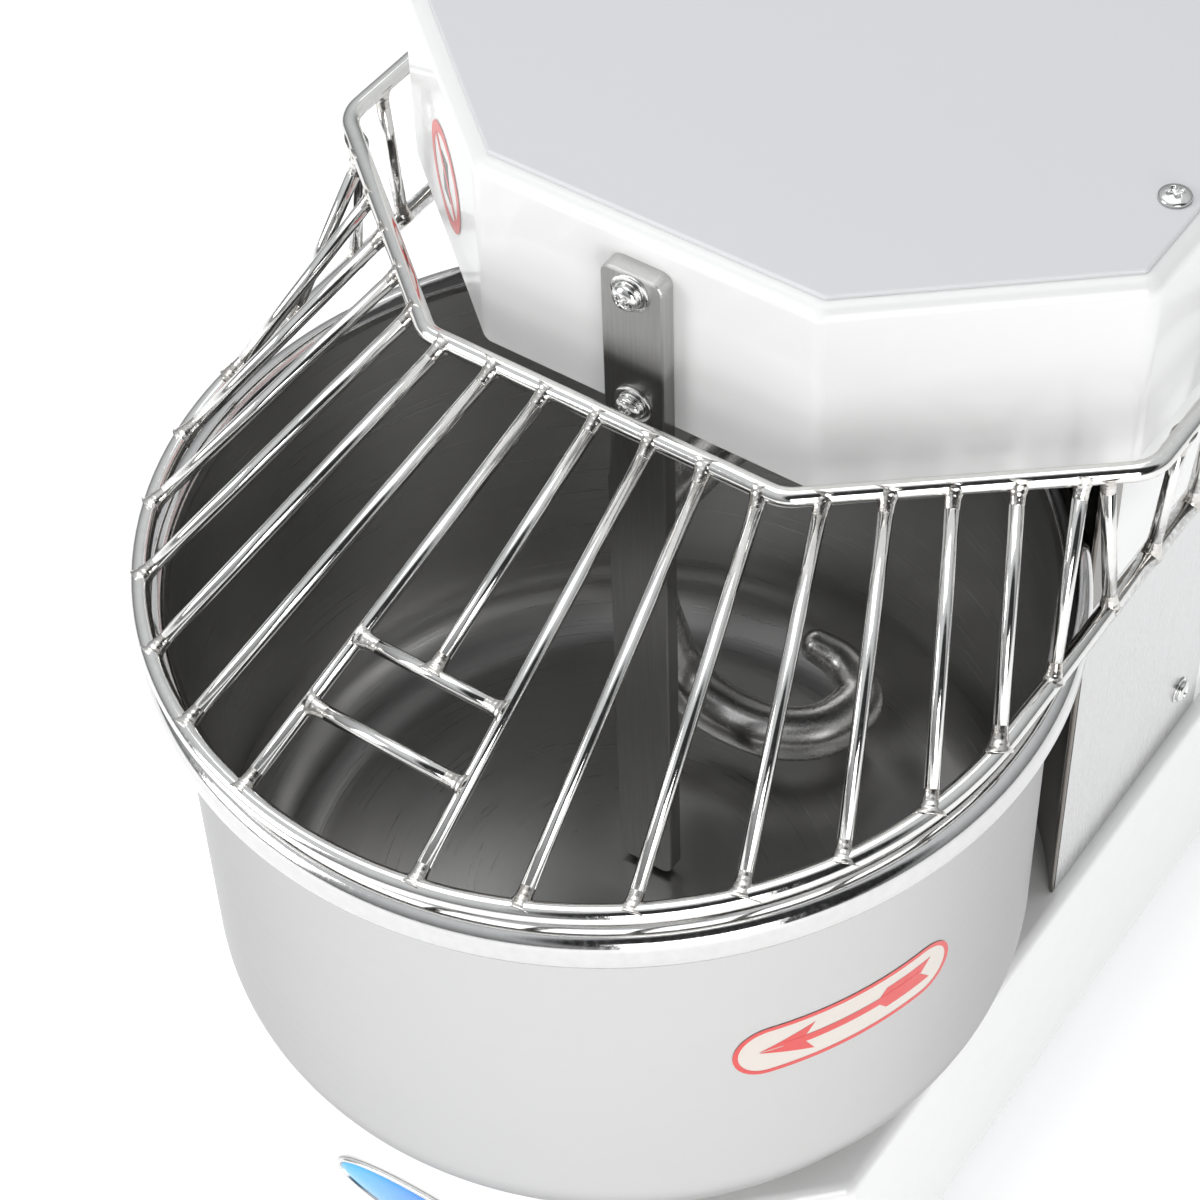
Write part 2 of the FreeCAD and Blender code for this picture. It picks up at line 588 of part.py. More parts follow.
# ================= main shaft and gearmotor =================
main_shaft = rod_z(MAIN_X, MAIN_Y, 36, 522, MAIN_R)
write("main_shaft", main_shaft)
write("main_sprockets", group([sprocket(MAIN_X, MAIN_Y, BASE_CHAIN_Z, 9, MAIN_R, 13.6, 92.0),
                               sprocket(MAIN_X, MAIN_Y, HEAD_CHAIN_Z, 15, MAIN_R, 20.0, 482.0)]))
lower_housing = flange_housing(MAIN_X, MAIN_Y, FOOT_H + 3, 54, 36.0, 26.0, FOOT_H + 3, 56.0, 3.5)
upper_housing = flange_housing(MAIN_X, MAIN_Y, COL_TOP + PAN_T, 472, 36.0, 26.0, COL_TOP + PAN_T, 56.0, 3.5)
write("main_bearing_housings", group([lower_housing, upper_housing]))

bracket = box(-150, 142, 160, 150, 268, 166)
for fx, fy in ((-136, 155), (136, 155), (-136, 255), (136, 255)):
    bracket = bracket.fuse(rod_z(fx, fy, BASE_TOP, 160, 11.0))
bracket = bracket.cut(rod_z(MAIN_X, MAIN_Y, 150, 170, 32.0))
write("gearbox_bracket", bracket)
case_wire = outline([(-122, 148), (112, 148), (112, 260), (-122, 260)], 24, 166)
case = slab(case_wire, 166, 228)
case = case.makeFillet(5.0, top_edges(case, 228))
case = case.fuse(rod_z(MAIN_X, MAIN_Y, 158, 240, 30.0)).fuse(rod_z(MOTOR_X, MOTOR_Y, 225, 236, 60.0))
case = case.cut(rod_z(MAIN_X, MAIN_Y, 150, 250, MAIN_R + RUN))
write("gearbox_case", case)

motor = rod_z(MOTOR_X, MOTOR_Y, 236, 374, MOTOR_R)
fins = []
for k in range(20):
    fin = box(MOTOR_R - 2, -1.2, 244, MOTOR_R + 6, 1.2, 366)
    fin.rotate(V(0, 0, 0), V(0, 0, 1), 18.0 * k + 9)
    fin.translate(V(MOTOR_X, MOTOR_Y, 0))
    fins.append(fin)
motor = motor.multiFuse(fins)
write("motor_body", motor)
cowl = rod_z(MOTOR_X, MOTOR_Y, 374, 414, MOTOR_R + 5)
cowl = cowl.makeFillet(7.0, top_edges(cowl, 414))
cowl = cowl.cut(rod_z(MOTOR_X, MOTOR_Y, 373, 411.5, MOTOR_R + 3))
cowl_slots = []
for k in range(12):
    slot = box(14, -2, 405, 42, 2, 420)
    slot.rotate(V(0, 0, 0), V(0, 0, 1), 30.0 * k)
    slot.translate(V(MOTOR_X, MOTOR_Y, 0))
    cowl_slots.append(slot)
cowl = cowl.cut(group(cowl_slots))
write("motor_fan_cowl", cowl)
terminal = box(MOTOR_X - 28, MOTOR_Y - 86, 280, MOTOR_X + 28, MOTOR_Y - 50, 350)
terminal = terminal.cut(rod_z(MOTOR_X, MOTOR_Y, 270, 360, MOTOR_R + 6.3))
write("motor_terminal_box", terminal)
electrical_box = box(22, 108, 262, 128, 152, 402)
electrical_box = electrical_box.makeFillet(4.0, electrical_box.Edges)
write("electrical_box", electrical_box)

# ================= spiral and its drive =================
hook_stops = [
    (0, SPIRAL_Y, 390, HOOK_R), (-4, -6.5, 370, 11.0), (-22, -14, 344, 11.5), (-38, -20, 314, 12.0),
    (-46, -22, 280, 12.3), (-46, -21, 250, 12.5), (-39.9, -18.6, 222, 12.5), (-34.3, -17.6, 208, 12.6),
    (-26.3, -17.8, 198, 12.7), (-15.6, -18.2, 193, 12.8), (-4, -17.7, 190.5, 12.8), (11.6, -16.2, 190, 12.8),
    (24.7, -11.1, 190, 12.8), (35.2, -1.9, 190, 12.8), (40.5, 11.2, 190.5, 12.5), (39.9, 22.7, 191, 11.8),
    (32.9, 30.4, 192.5, 10.8), (25.0, 34.2, 194.5, 9.8), (17.4, 34.7, 197, 8.8), (10.7, 33.1, 200, 8.0),
]
hook_points = [V(x, y, z) for x, y, z, r in hook_stops]
hook_radii = [stop[3] for stop in hook_stops]
hook = tapered_bar(hook_points, hook_radii, V(0, 0, -1), V(-1, -0.35, 0.45), 28)
hook = hook.fuse(rod_z(0, SPIRAL_Y, 390, 470, HOOK_R))
hook = hook.fuse(Part.makeSphere(hook_radii[-1], hook_points[-1]))
pin_z = 431.0
hook = hook.cut(rod_x(-30, 30, SPIRAL_Y, pin_z, 3.0))
write("spiral_hook", hook)
spiral_shaft = rod_z(0, SPIRAL_Y, 422, 524, SPIRAL_SHAFT_R)
spiral_shaft = spiral_shaft.cut(rod_z(0, SPIRAL_Y, 420, 470, HOOK_R))
spiral_shaft = spiral_shaft.cut(rod_x(-30, 30, SPIRAL_Y, pin_z, 3.0))
write("spiral_shaft", spiral_shaft)
write("spiral_drive_pin", rod_x(-SPIRAL_SHAFT_R, SPIRAL_SHAFT_R, SPIRAL_Y, pin_z, 3.0))
write("spiral_bearing_housing", flange_housing(0, SPIRAL_Y, COL_TOP + PAN_T, 492, 43.0, 31.0,
                                               COL_TOP + PAN_T, 64.0, 4.0))
write("ball_bearings", group([
    bearing(0, BOWL_Y, 90, 106, BOWL_SHAFT_R, 31.0),
    bearing(0, BOWL_Y, 124, 140, BOWL_SHAFT_R, 31.0),
    bearing(MAIN_X, MAIN_Y, 36, 51, MAIN_R, 26.0),
    bearing(MAIN_X, MAIN_Y, 454, 469, MAIN_R, 26.0),
    bearing(0, SPIRAL_Y, 450, 466, SPIRAL_SHAFT_R, 31.0),
    bearing(0, SPIRAL_Y, 474, 490, SPIRAL_SHAFT_R, 31.0),
]))
write("spiral_seal", tube_z(0, SPIRAL_Y, 436, 446, 24.0, SPIRAL_SHAFT_R + 0.35))
write("spiral_sprocket", sprocket(0, SPIRAL_Y, HEAD_CHAIN_Z, 15, SPIRAL_SHAFT_R, 23.0, 495.0))
spiral_nut = hexagon(0, SPIRAL_Y, 512, 520, 46).cut(rod_z(0, SPIRAL_Y, 500, 530, SPIRAL_SHAFT_R))
write("spiral_shaft_nut", spiral_nut)
write("spiral_chain", chain(0, SPIRAL_Y, 15, MAIN_X, MAIN_Y, 15, HEAD_CHAIN_Z))

# ================= guard =================
ring_end_y = 64.0
quarter = V(RING_R, GUARD_Y, RING_Z)
ring_path = Part.Wire([
    Part.LineSegment(V(-RING_R, ring_end_y, RING_Z), V(-RING_R, GUARD_Y, RING_Z)).toShape(),
    Part.Arc(V(-RING_R, GUARD_Y, RING_Z), V(0, GUARD_Y - RING_R, RING_Z), quarter).toShape(),
    Part.LineSegment(quarter, V(RING_R, ring_end_y, RING_Z)).toShape(),
])
guard_ring = swept(ring_path, WIRE_R)
write("guard_ring", guard_ring)

plate_outer = PLATE_X + PLATE_T
wire_points = [V(-plate_outer - WIRE_R, 82, UPPER_Z), V(-plate_outer - WIRE_R, 68, UPPER_Z),
               V(-UPPER_HALF, 50, UPPER_Z), V(-UPPER_HALF, UPPER_CORNER_Y, UPPER_Z),
               V(-UPPER_FRONT_HALF, GUARD_Y, UPPER_Z)]
mirrored = [V(-p.x, p.y, p.z) for p in reversed(wire_points)]
wire_radii = [0, 12, 12, 18, 14, 14, 18, 12, 12, 0]
upper_path = rounded_wire(wire_points + mirrored, wire_radii, closed=False)
upper_wire = swept(upper_path, WIRE_R)
write("guard_upper_wire", upper_wire)

chamfer = V(UPPER_HALF - UPPER_FRONT_HALF, UPPER_CORNER_Y - GUARD_Y, 0)
chamfer_unit = V(chamfer).normalize()


def upper_joint(k):
    along = abs(k) * UPPER_STEP
    side = 1 if k >= 0 else -1
    if along <= UPPER_FRONT_HALF:
        return V(side * along, GUARD_Y, UPPER_Z)
    rest = along - UPPER_FRONT_HALF
    return V(side * (UPPER_FRONT_HALF + rest * chamfer_unit.x), GUARD_Y + rest * chamfer_unit.y, UPPER_Z)


def lower_joint(k):
    along = abs(k) * LOWER_STEP
    side = 1 if k >= 0 else -1
    quarter_arc = RING_R * math.pi / 2.0
    if along <= quarter_arc:
        angle = along / RING_R
        return V(side * RING_R * math.sin(angle), GUARD_Y - RING_R * math.cos(angle), RING_Z)
    return V(side * RING_R, GUARD_Y + along - quarter_arc, RING_Z)


def point_on_bar(k, part):
    return upper_joint(k) + (lower_joint(k) - upper_joint(k)) * part


bars = []
for k in range(-8, 9):
    if k == 0:
        middle = (point_on_bar(-1, CROSS_AT[0]) + point_on_bar(1, CROSS_AT[0])) * 0.5
        bars.append(straight_rod(upper_joint(0), middle, BAR_R))
    else:
        bars.append(straight_rod(upper_joint(k), lower_joint(k), BAR_R))
side_bars = []
for side in (-1, 1):
    for y in SIDE_BAR_Y:
        top_x = UPPER_HALF
        if y < UPPER_CORNER_Y:
            top_x = UPPER_HALF - (UPPER_CORNER_Y - y) * chamfer_unit.x / chamfer_unit.y
        side_bars.append(straight_rod(V(side * RING_R, y, RING_Z), V(side * top_x, y, UPPER_Z), BAR_R))
crossbars = []
for part in CROSS_AT:
    crossbars.append(straight_rod(point_on_bar(-1, part), point_on_bar(1, part), BAR_R))
cut_bars = []
for k, rod in zip(range(-8, 9), bars):
    trimmed = rod.cut(upper_wire)
    if k != 0:
        trimmed = trimmed.cut(guard_ring)
    cut_bars.append(trimmed)
cut_cross = []
for rod in crossbars:
    cut_cross.append(rod.cut(cut_bars[7]).cut(cut_bars[9]))
cut_bars[8] = cut_bars[8].cut(cut_cross[0])
cut_cross = [max(c.Solids, key=lambda s: s.Volume) for c in cut_cross]
cut_side = [rod.cut(upper_wire).cut(guard_ring) for rod in side_bars]
write("guard_bars", group(cut_bars + cut_cross + cut_side))

plates = []
pins = []
for side in (-1, 1):
    x = side * PLATE_X if side > 0 else -PLATE_X - PLATE_T
    points = [V(x, 44, 393), V(x, 62, 393), V(x, 108, 470), V(x, 108, 506), V(x, 68, 506), V(x, 66, 462)]
    wire = rounded_wire(points, [4, 6, 16, 16, 16, 20])
    plate = Part.Face(wire).extrude(V(PLATE_T, 0, 0))
    plate = plate.cut(rod_x(x - 1, x + PLATE_T + 1, PIVOT_Y, PIVOT_Z, PIN_R))
    plates.append(plate)
    inner = 152.0
    pin = rod_x(*sorted((side * inner, side * (plate_outer + 2))), PIVOT_Y, PIVOT_Z, PIN_R)
    head = rod_x(*sorted((side * plate_outer, side * (plate_outer + 6))), PIVOT_Y, PIVOT_Z, 10.5)
    edges = [e for e in head.Edges
             if e.BoundBox.XLength < 0.01 and abs(abs(e.BoundBox.XMin) - plate_outer - 6) < 0.01]
    head = head.makeFillet(2.5, edges)
    pins.append(pin.fuse(head))
write("guard_hinge_plates", group(plates))
write("guard_pivot_pins", group(pins))
spacers = []
for side in (-1, 1):
    x0, x1 = sorted((side * (HEAD_HALF + 0.4), side * PLATE_X))
    spacers.append(rod_x(x0, x1, PIVOT_Y, PIVOT_Z, 13.0).cut(rod_x(x0 - 1, x1 + 1, PIVOT_Y, PIVOT_Z, PIN_R)))
write("guard_pivot_washers", group(spacers))
cam = rod_x(154, 164, PIVOT_Y, PIVOT_Z, 17.0).cut(rod_x(150, 170, PIVOT_Y, PIVOT_Z, PIN_R))
cam = cam.cut(box(150, PIVOT_Y + 9, PIVOT_Z - 20, 170, PIVOT_Y + 20, PIVOT_Z + 6))
write("guard_cam", cam)
switch = box(150, 108, 466, 168, 128, 504).fuse(box(156, 105.5, 480, 162, 108, 488))
write("guard_safety_switch", switch)

# ================= controls =================
panel = box(HEAD_HALF, PANEL_Y0, PANEL_Z - 27, HEAD_HALF + PANEL_T, PANEL_Y1, PANEL_Z + 27)
panel = panel.makeFillet(5.0, [e for e in panel.Edges if e.BoundBox.XLength > 1])
panel = panel.cut(group(control_holes))
write("control_panel", panel)
face = HEAD_HALF + PANEL_T
bezels = []
for y in (START_Y, STOP_Y):
    bezels.append(rod_x(face, face + 4.0, y, PANEL_Z, 13.5).cut(rod_x(face - 1, face + 5, y, PANEL_Z, 10.4)))
write("button_bezels", group(bezels))
for name, y in (("start_button", START_Y), ("stop_button", STOP_Y)):
    cap = rod_x(face + 3.4, face + 7.0, y, PANEL_Z, 10.0)
    cap = cap.makeFillet(1.2, [e for e in cap.Edges if abs(e.BoundBox.XMax - face - 7.0) < 0.01
                               and e.BoundBox.XLength < 0.01])
    write(name, cap.fuse(rod_x(156, face + 3.4, y, PANEL_Z, 6.0)))
collar = rod_x(face, face + 3.0, ESTOP_Y, PANEL_Z, 20.0).cut(rod_x(face - 1, face + 9, ESTOP_Y, PANEL_Z, 8.4))
write("emergency_stop_collar", collar)
mushroom = rod_x(face + 8.0, face + 17.0, ESTOP_Y, PANEL_Z, 17.0)
mushroom = mushroom.makeFillet(4.0, [e for e in mushroom.Edges if abs(e.BoundBox.XMax - face - 17.0) < 0.01
                                     and e.BoundBox.XLength < 0.01])
write("emergency_stop", mushroom.fuse(rod_x(156, face + 8.0, ESTOP_Y, PANEL_Z, 8.0)))
knob = rod_x(face + 2.0, face + 15.0, KNOB_Y, PANEL_Z, 13.0)
knob = knob.makeFillet(1.5, [e for e in knob.Edges if abs(e.BoundBox.XMax - face - 15.0) < 0.01
                             and e.BoundBox.XLength < 0.01])
flutes = []
for k in range(12):
    angle = math.radians(30 * k + 15)
    flutes.append(rod_x(face + 1, face + 16, KNOB_Y + 14.2 * math.cos(angle),
                        PANEL_Z + 14.2 * math.sin(angle), 2.2))
pointer_slot = box(face + 14, KNOB_Y - 0.8, PANEL_Z, face + 16, KNOB_Y + 0.8, PANEL_Z + 13)
knob = knob.cut(group(flutes)).cut(pointer_slot)
write("timer_knob", knob.fuse(rod_x(156, face + 2.0, KNOB_Y, PANEL_Z, 4.0)))
blocks = []
for y in (START_Y, STOP_Y, ESTOP_Y, KNOB_Y):
    blocks.append(box(120, y - 11, PANEL_Z - 14, 150, y + 11, PANEL_Z + 14))
write("contact_blocks", group(blocks))
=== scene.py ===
import json
import math
import random

import bpy
from mathutils import Matrix, Vector, noise


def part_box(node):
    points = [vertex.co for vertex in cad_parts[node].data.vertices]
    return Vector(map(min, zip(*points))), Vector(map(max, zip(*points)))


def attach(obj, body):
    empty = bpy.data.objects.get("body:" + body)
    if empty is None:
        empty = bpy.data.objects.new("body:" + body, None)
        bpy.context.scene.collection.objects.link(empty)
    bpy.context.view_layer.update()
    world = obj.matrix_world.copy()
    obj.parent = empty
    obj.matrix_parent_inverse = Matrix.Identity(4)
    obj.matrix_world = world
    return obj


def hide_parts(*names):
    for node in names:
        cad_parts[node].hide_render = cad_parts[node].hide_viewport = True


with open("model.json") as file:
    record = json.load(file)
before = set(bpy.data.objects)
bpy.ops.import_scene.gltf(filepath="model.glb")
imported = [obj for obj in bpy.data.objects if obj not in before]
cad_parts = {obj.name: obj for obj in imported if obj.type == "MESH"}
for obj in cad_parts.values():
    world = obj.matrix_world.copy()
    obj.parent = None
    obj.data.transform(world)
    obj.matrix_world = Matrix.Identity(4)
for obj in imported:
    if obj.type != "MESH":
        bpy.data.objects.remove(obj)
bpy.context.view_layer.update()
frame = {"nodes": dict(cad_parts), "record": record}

MM = 0.001
random.seed(7)

# The machine's main places and sizes, in metres, in the frame of the CAD model.
BOWL_AXIS = Vector((0, -0.112, 0))
BOWL_R = 0.178
BOWL_WALL = 0.0015
BOWL_FLOOR = 0.163
BOWL_CORNER = 0.038
BEAD_DEEP = 0.0065
BEAD_HIGH = 0.0095
BEAD_CENTRE_R = 0.185
BEAD_Z = 0.3765
HOOK_R = 0.0108
HEAD_FRONT_Y = -0.0866
BAR_T = 0.0081
BAR_HALF = 0.014
BAR_TOP = 0.5236
BAR_BOTTOM = 0.1665
BAR_SCREW_Z = (0.5147, 0.457)
GUARD_Y = -0.117
RING_Z = 0.400
RING_R = 0.184
RING_END_Y = 0.064
WIRE_R = 0.004
ROD_R = 0.003
UPPER_Z = 0.46965
UPPER_FRONT_HALF = 0.0819
UPPER_HALF = 0.1897
UPPER_CORNER_Y = -0.0289
UPPER_STEP = 0.0243
LOWER_STEP = 0.0401
CROSS_AT = (0.622, 0.785)
SIDE_BAR_Y = (-0.040, -0.0063, 0.0266)
PLATE_OUTER = 0.180
LID_TOP = 0.5386
REAR = 0.290
COLUMN_HALF = 0.1574
LID_SCREWS = ((-0.1552, 0.0366), (0.1552, 0.0366), (-0.1552, 0.262), (0.1552, 0.262))
SIDE_SCREW_Y = 0.1183
SIDE_SCREW_Z = (0.1798, 0.312)
COVER_SCREW_X = (-0.126, 0.126)
COVER_SCREW_Z = (0.164, 0.297, 0.430)
HINGE_Y = (0.082, 0.068, 0.050)
TURN_LABEL_ANGLE = 64.9
TURN_LABEL_Z = 0.286
TURN_LABEL_LONG = 0.102
TURN_LABEL_HIGH = 0.030
ROUND_LABEL_R = 0.0240
CAMERA_PLACE = Vector((0.5087, -0.8125, 1.3149))
CAMERA_TARGET = Vector((0.01692, -0.14467, 0.400))
CAMERA_ROLL = -0.04
CAMERA_LENS = 95.15


# ---------------------------------------------------------------- materials

class Shader:
    """One procedural material: a Principled shader and the nodes that feed it."""

    def __init__(self, name, colour, roughness, metallic=0.0, **sockets):
        self.material = bpy.data.materials.new(name)
        self.material.use_nodes = True
        self.tree = self.material.node_tree
        self.shader = self.tree.nodes["Principled BSDF"]
        self.colour = colour
        self.roughness = roughness
        self.shader.inputs["Base Color"].default_value = (*colour, 1)
        self.shader.inputs["Roughness"].default_value = roughness
        self.shader.inputs["Metallic"].default_value = metallic
        for socket, value in sockets.items():
            self.shader.inputs[socket.replace("_", " ")].default_value = value
        self.heights = []

    def node(self, kind, **values):
        node = self.tree.nodes.new(kind)
        for name, value in values.items():
            setattr(node, name, value)
        return node

    def link(self, output, socket):
        self.tree.links.new(output, socket)

    def place(self, scale, kind="Object"):
        coordinates = self.node("ShaderNodeTexCoord")
        mapping = self.node("ShaderNodeMapping")
        mapping.inputs["Scale"].default_value = scale
        self.link(coordinates.outputs[kind], mapping.inputs["Vector"])
        return mapping.outputs["Vector"]

    def round_place(self, turn_scale, radius_scale, height_scale):
        """Coordinates that run round the object's own upright axis: turn, radius and height."""
        split = self.node("ShaderNodeSeparateXYZ")
        self.link(self.node("ShaderNodeTexCoord").outputs["Object"], split.inputs[0])
        turn = self.math("ARCTAN2", split.outputs["Y"], split.outputs["X"])
        square_x = self.math("MULTIPLY", split.outputs["X"], split.outputs["X"])
        square_y = self.math("MULTIPLY", split.outputs["Y"], split.outputs["Y"])
        radius = self.math("SQRT", self.math("ADD", square_x, square_y))
        join = self.node("ShaderNodeCombineXYZ")
        self.link(self.math("MULTIPLY", turn, turn_scale), join.inputs[0])
        self.link(self.math("MULTIPLY", radius, radius_scale), join.inputs[1])
        self.link(self.math("MULTIPLY", split.outputs["Z"], height_scale), join.inputs[2])
        return join.outputs[0]

    def math(self, operation, a, b=None):
        node = self.node("ShaderNodeMath", operation=operation)
        for socket, value in zip(node.inputs, (a, b)):
            if value is None:
                continue
            if isinstance(value, (int, float)):
                socket.default_value = value
            else:
                self.link(value, socket)
        return node.outputs[0]

    def noise(self, vector, scale, detail=4.0, roughness=0.55):
        node = self.node("ShaderNodeTexNoise")
        node.inputs["Scale"].default_value = scale
        node.inputs["Detail"].default_value = detail
        node.inputs["Roughness"].default_value = roughness
        self.link(vector, node.inputs["Vector"])
        return node.outputs["Fac"]

    def spread(self, value, low, high, from_low=0.3, from_high=0.7):
        node = self.node("ShaderNodeMapRange")
        node.inputs["From Min"].default_value = from_low
        node.inputs["From Max"].default_value = from_high
        node.inputs["To Min"].default_value = low
        node.inputs["To Max"].default_value = high
        self.link(value, node.inputs["Value"])
        return node.outputs["Result"]

    def mix(self, factor, first, second):
        node = self.node("ShaderNodeMix", data_type="RGBA")
        for socket, value in ((node.inputs[0], factor), (node.inputs[6], first), (node.inputs[7], second)):
            if isinstance(value, bpy.types.NodeSocket):
                self.link(value, socket)
            elif isinstance(value, (int, float)):
                socket.default_value = value
            else:
                socket.default_value = (*value, 1)
        return node.outputs[2]

    def vary_colour(self, factor, amount):
        """Moves the base colour a little darker and lighter with the factor."""
        darker = tuple(c * (1 - amount) for c in self.colour)
        lighter = tuple(min(1.0, c * (1 + amount)) for c in self.colour)
        self.link(self.mix(factor, darker, lighter), self.shader.inputs["Base Color"])

    def vary_roughness(self, factor, amount):
        low = max(0.02, self.roughness - amount)
        self.link(self.spread(factor, low, self.roughness + amount), self.shader.inputs["Roughness"])

    def bump(self, height, distance, strength=1.0):
        self.heights.append((height, distance, strength))

    def done(self):
        normal = None
        for height, distance, strength in self.heights:
            node = self.node("ShaderNodeBump")
            node.inputs["Distance"].default_value = distance
            node.inputs["Strength"].default_value = strength
            self.link(height, node.inputs["Height"])
            if normal is not None:
                self.link(normal, node.inputs["Normal"])
            normal = node.outputs["Normal"]
        if normal is not None:
            self.link(normal, self.shader.inputs["Normal"])
        return self.material


def paint(name, colour, roughness=0.22, peel=0.000008, coat=0.5):
    """Sprayed and baked paint: a faint orange peel under a clear gloss."""
    made = Shader(name, colour, roughness, Coat_Weight=coat, Coat_Roughness=0.06)
    place = made.place((1, 1, 1))
    cloud = made.noise(place, 9.0, 3.0)
    made.vary_colour(cloud, 0.006)
    made.vary_roughness(made.noise(place, 60.0, 3.0), 0.02)
    made.bump(made.noise(place, 420.0, 2.0), peel)
    return made.done()


def brushed(name, colour, roughness, scale, grain=0.10, depth=0.00003, anisotropic=0.0, metallic=1.0):
    """Metal with straight grain: scale is short along the grain and long across it."""
    made = Shader(name, colour, roughness, metallic, Anisotropic=anisotropic)
    place = made.place(scale)
    fine = made.noise(place, 60.0, 6.0, 0.7)
    wide = made.noise(made.place((1, 1, 1)), 14.0, 3.0)
    made.vary_colour(fine, grain)
    made.vary_roughness(made.mix(0.3, fine, wide), 0.07)
    made.bump(fine, depth)
    return made.done()


def turned(name, colour, roughness, grain=0.12, depth=0.000004, anisotropic=0.4, edge=1.0):
    """Metal brushed round its own upright axis, as a spun bowl is."""
    made = Shader(name, colour, roughness, 1.0, Anisotropic=anisotropic, Specular_Tint=(edge, edge, edge, 1))
    tangent = made.node("ShaderNodeTangent", direction_type="RADIAL", axis="Z")
    made.link(tangent.outputs[0], made.shader.inputs["Tangent"])
    fine = made.noise(made.round_place(1.6, 1100.0, 1100.0), 1.0, 4.0, 0.6)
    wide = made.noise(made.round_place(1.5, 60.0, 60.0), 1.0, 3.0)
    away = made.node("ShaderNodeVectorMath", operation="LENGTH")
    made.link(made.place((1, 1, 0)), away.inputs[0])
    calm = made.mix(made.spread(away.outputs["Value"], 0.0, 1.0, 0.015, 0.060), (0.5, 0.5, 0.5), fine)
    made.vary_colour(made.mix(0.35, calm, wide), grain)
    made.vary_roughness(calm, 0.05)
    made.bump(calm, depth)
    return made.done()


def linished(name):
    """Flat bar brushed along its length. Its top end, down to between the screws, has a lighter colour as
    painted light, and the rest a darker colour as painted shade.
    """
    made = Shader(name, (0.60, 0.595, 0.585), 0.36, 1.0)
    place = made.place((34, 34, 0.5))
    fine = made.noise(place, 60.0, 6.0, 0.7)
    split = made.node("ShaderNodeSeparateXYZ")
    made.link(made.node("ShaderNodeTexCoord").outputs["Object"], split.inputs[0])
    # Mask of the top end, which gets the painted light; below it the bar gets painted shade.
    upper = made.spread(split.outputs["Z"], 0.0, 1.0, 0.474, 0.480)
    # Two copies of the bar's colour: the darker one is painted shade, the lighter one painted light.
    painted_shade_tone = made.mix(fine, (0.22, 0.218, 0.212), (0.42, 0.415, 0.405))
    light = made.mix(fine, (0.38, 0.377, 0.37), (0.70, 0.695, 0.685))
    made.link(made.mix(upper, painted_shade_tone, light), made.shader.inputs["Base Color"])
    made.link(made.spread(upper, 0.30, 0.44, 0.0, 1.0), made.shader.inputs["Roughness"])
    made.bump(fine, 0.00002)
    return made.done()


def moulded(name, colour, roughness, grain=0.00003, scale=900.0, coat=0.0):
    """Moulded plastic or rubber with a fine eroded texture."""
    made = Shader(name, colour, roughness, 0.0, Coat_Weight=coat, Coat_Roughness=0.08)
    place = made.place((1, 1, 1))
    made.vary_colour(made.noise(place, 30.0, 4.0), 0.08)
    made.vary_roughness(made.noise(place, 120.0, 3.0), 0.06)
    made.bump(made.noise(place, scale, 2.0), grain)
    return made.done()


def film(name, colour, roughness=0.35):
    """Printed label film."""
    made = Shader(name, colour, roughness, Coat_Weight=0.3, Coat_Roughness=0.15)
    place = made.place((1, 1, 1))
    made.vary_colour(made.noise(place, 70.0, 3.0), 0.03)
    made.vary_roughness(made.noise(place, 200.0, 3.0), 0.05)
    made.bump(made.noise(place, 700.0, 2.0), 0.00001)
    return made.done()


def weld_metal(name, colour, roughness=0.2):
    """Weld bead: bright, a little lumpy, with a straw to grey tint."""
    made = Shader(name, colour, roughness, 1.0)
    place = made.place((1, 1, 1))
    made.link(made.mix(made.spread(made.noise(place, 160.0, 3.0), 0.0, 1.0), colour, (0.52, 0.49, 0.45)),
              made.shader.inputs["Base Color"])
    made.vary_roughness(made.noise(place, 700.0, 3.0), 0.08)
    made.bump(made.noise(place, 900.0, 3.0), 0.00012)
    return made.done()


def cast(name, colour, roughness=0.45):
    """Painted casting with a sandy skin."""
    made = Shader(name, colour, roughness)
    place = made.place((1, 1, 1))
    made.vary_colour(made.noise(place, 40.0, 5.0), 0.12)
    made.vary_roughness(made.noise(place, 90.0, 3.0), 0.08)
    made.bump(made.noise(place, 260.0, 5.0, 0.7), 0.0002)
    return made.done()


def plated(name, colour, roughness=0.16):
    """Bright plated steel with light handling marks."""
    made = Shader(name, colour, roughness, 1.0)
    place = made.place((1, 1, 1))
    made.vary_colour(made.noise(place, 200.0, 4.0), 0.08)
    made.vary_roughness(made.noise(place, 500.0, 4.0), 0.07)
    made.bump(made.noise(place, 1500.0, 3.0), 0.00001)
    return made.done()


def badge_enamel(name):
    """Domed enamel that runs from cyan on the left to violet blue on the right."""
    made = Shader(name, (0.1, 0.4, 0.9), 0.12, Coat_Weight=1.0, Coat_Roughness=0.03)
    split = made.node("ShaderNodeSeparateXYZ")
    made.link(made.node("ShaderNodeTexCoord").outputs["Object"], split.inputs[0])
    across = made.spread(split.outputs["X"], 0.0, 1.0, -0.05, 0.05)
    ramp = made.node("ShaderNodeValToRGB")
    ramp.color_ramp.elements[0].color = (0.0, 0.43, 0.85, 1)
    ramp.color_ramp.elements[1].color = (0.16, 0.09, 0.60, 1)
    middle = ramp.color_ramp.elements.new(0.45)
    middle.color = (0.01, 0.20, 0.72, 1)
    made.link(across, ramp.inputs["Fac"])
    made.link(ramp.outputs["Color"], made.shader.inputs["Base Color"])
    made.vary_roughness(made.noise(made.place((1, 1, 1)), 90.0, 3.0), 0.04)
    return made.done()


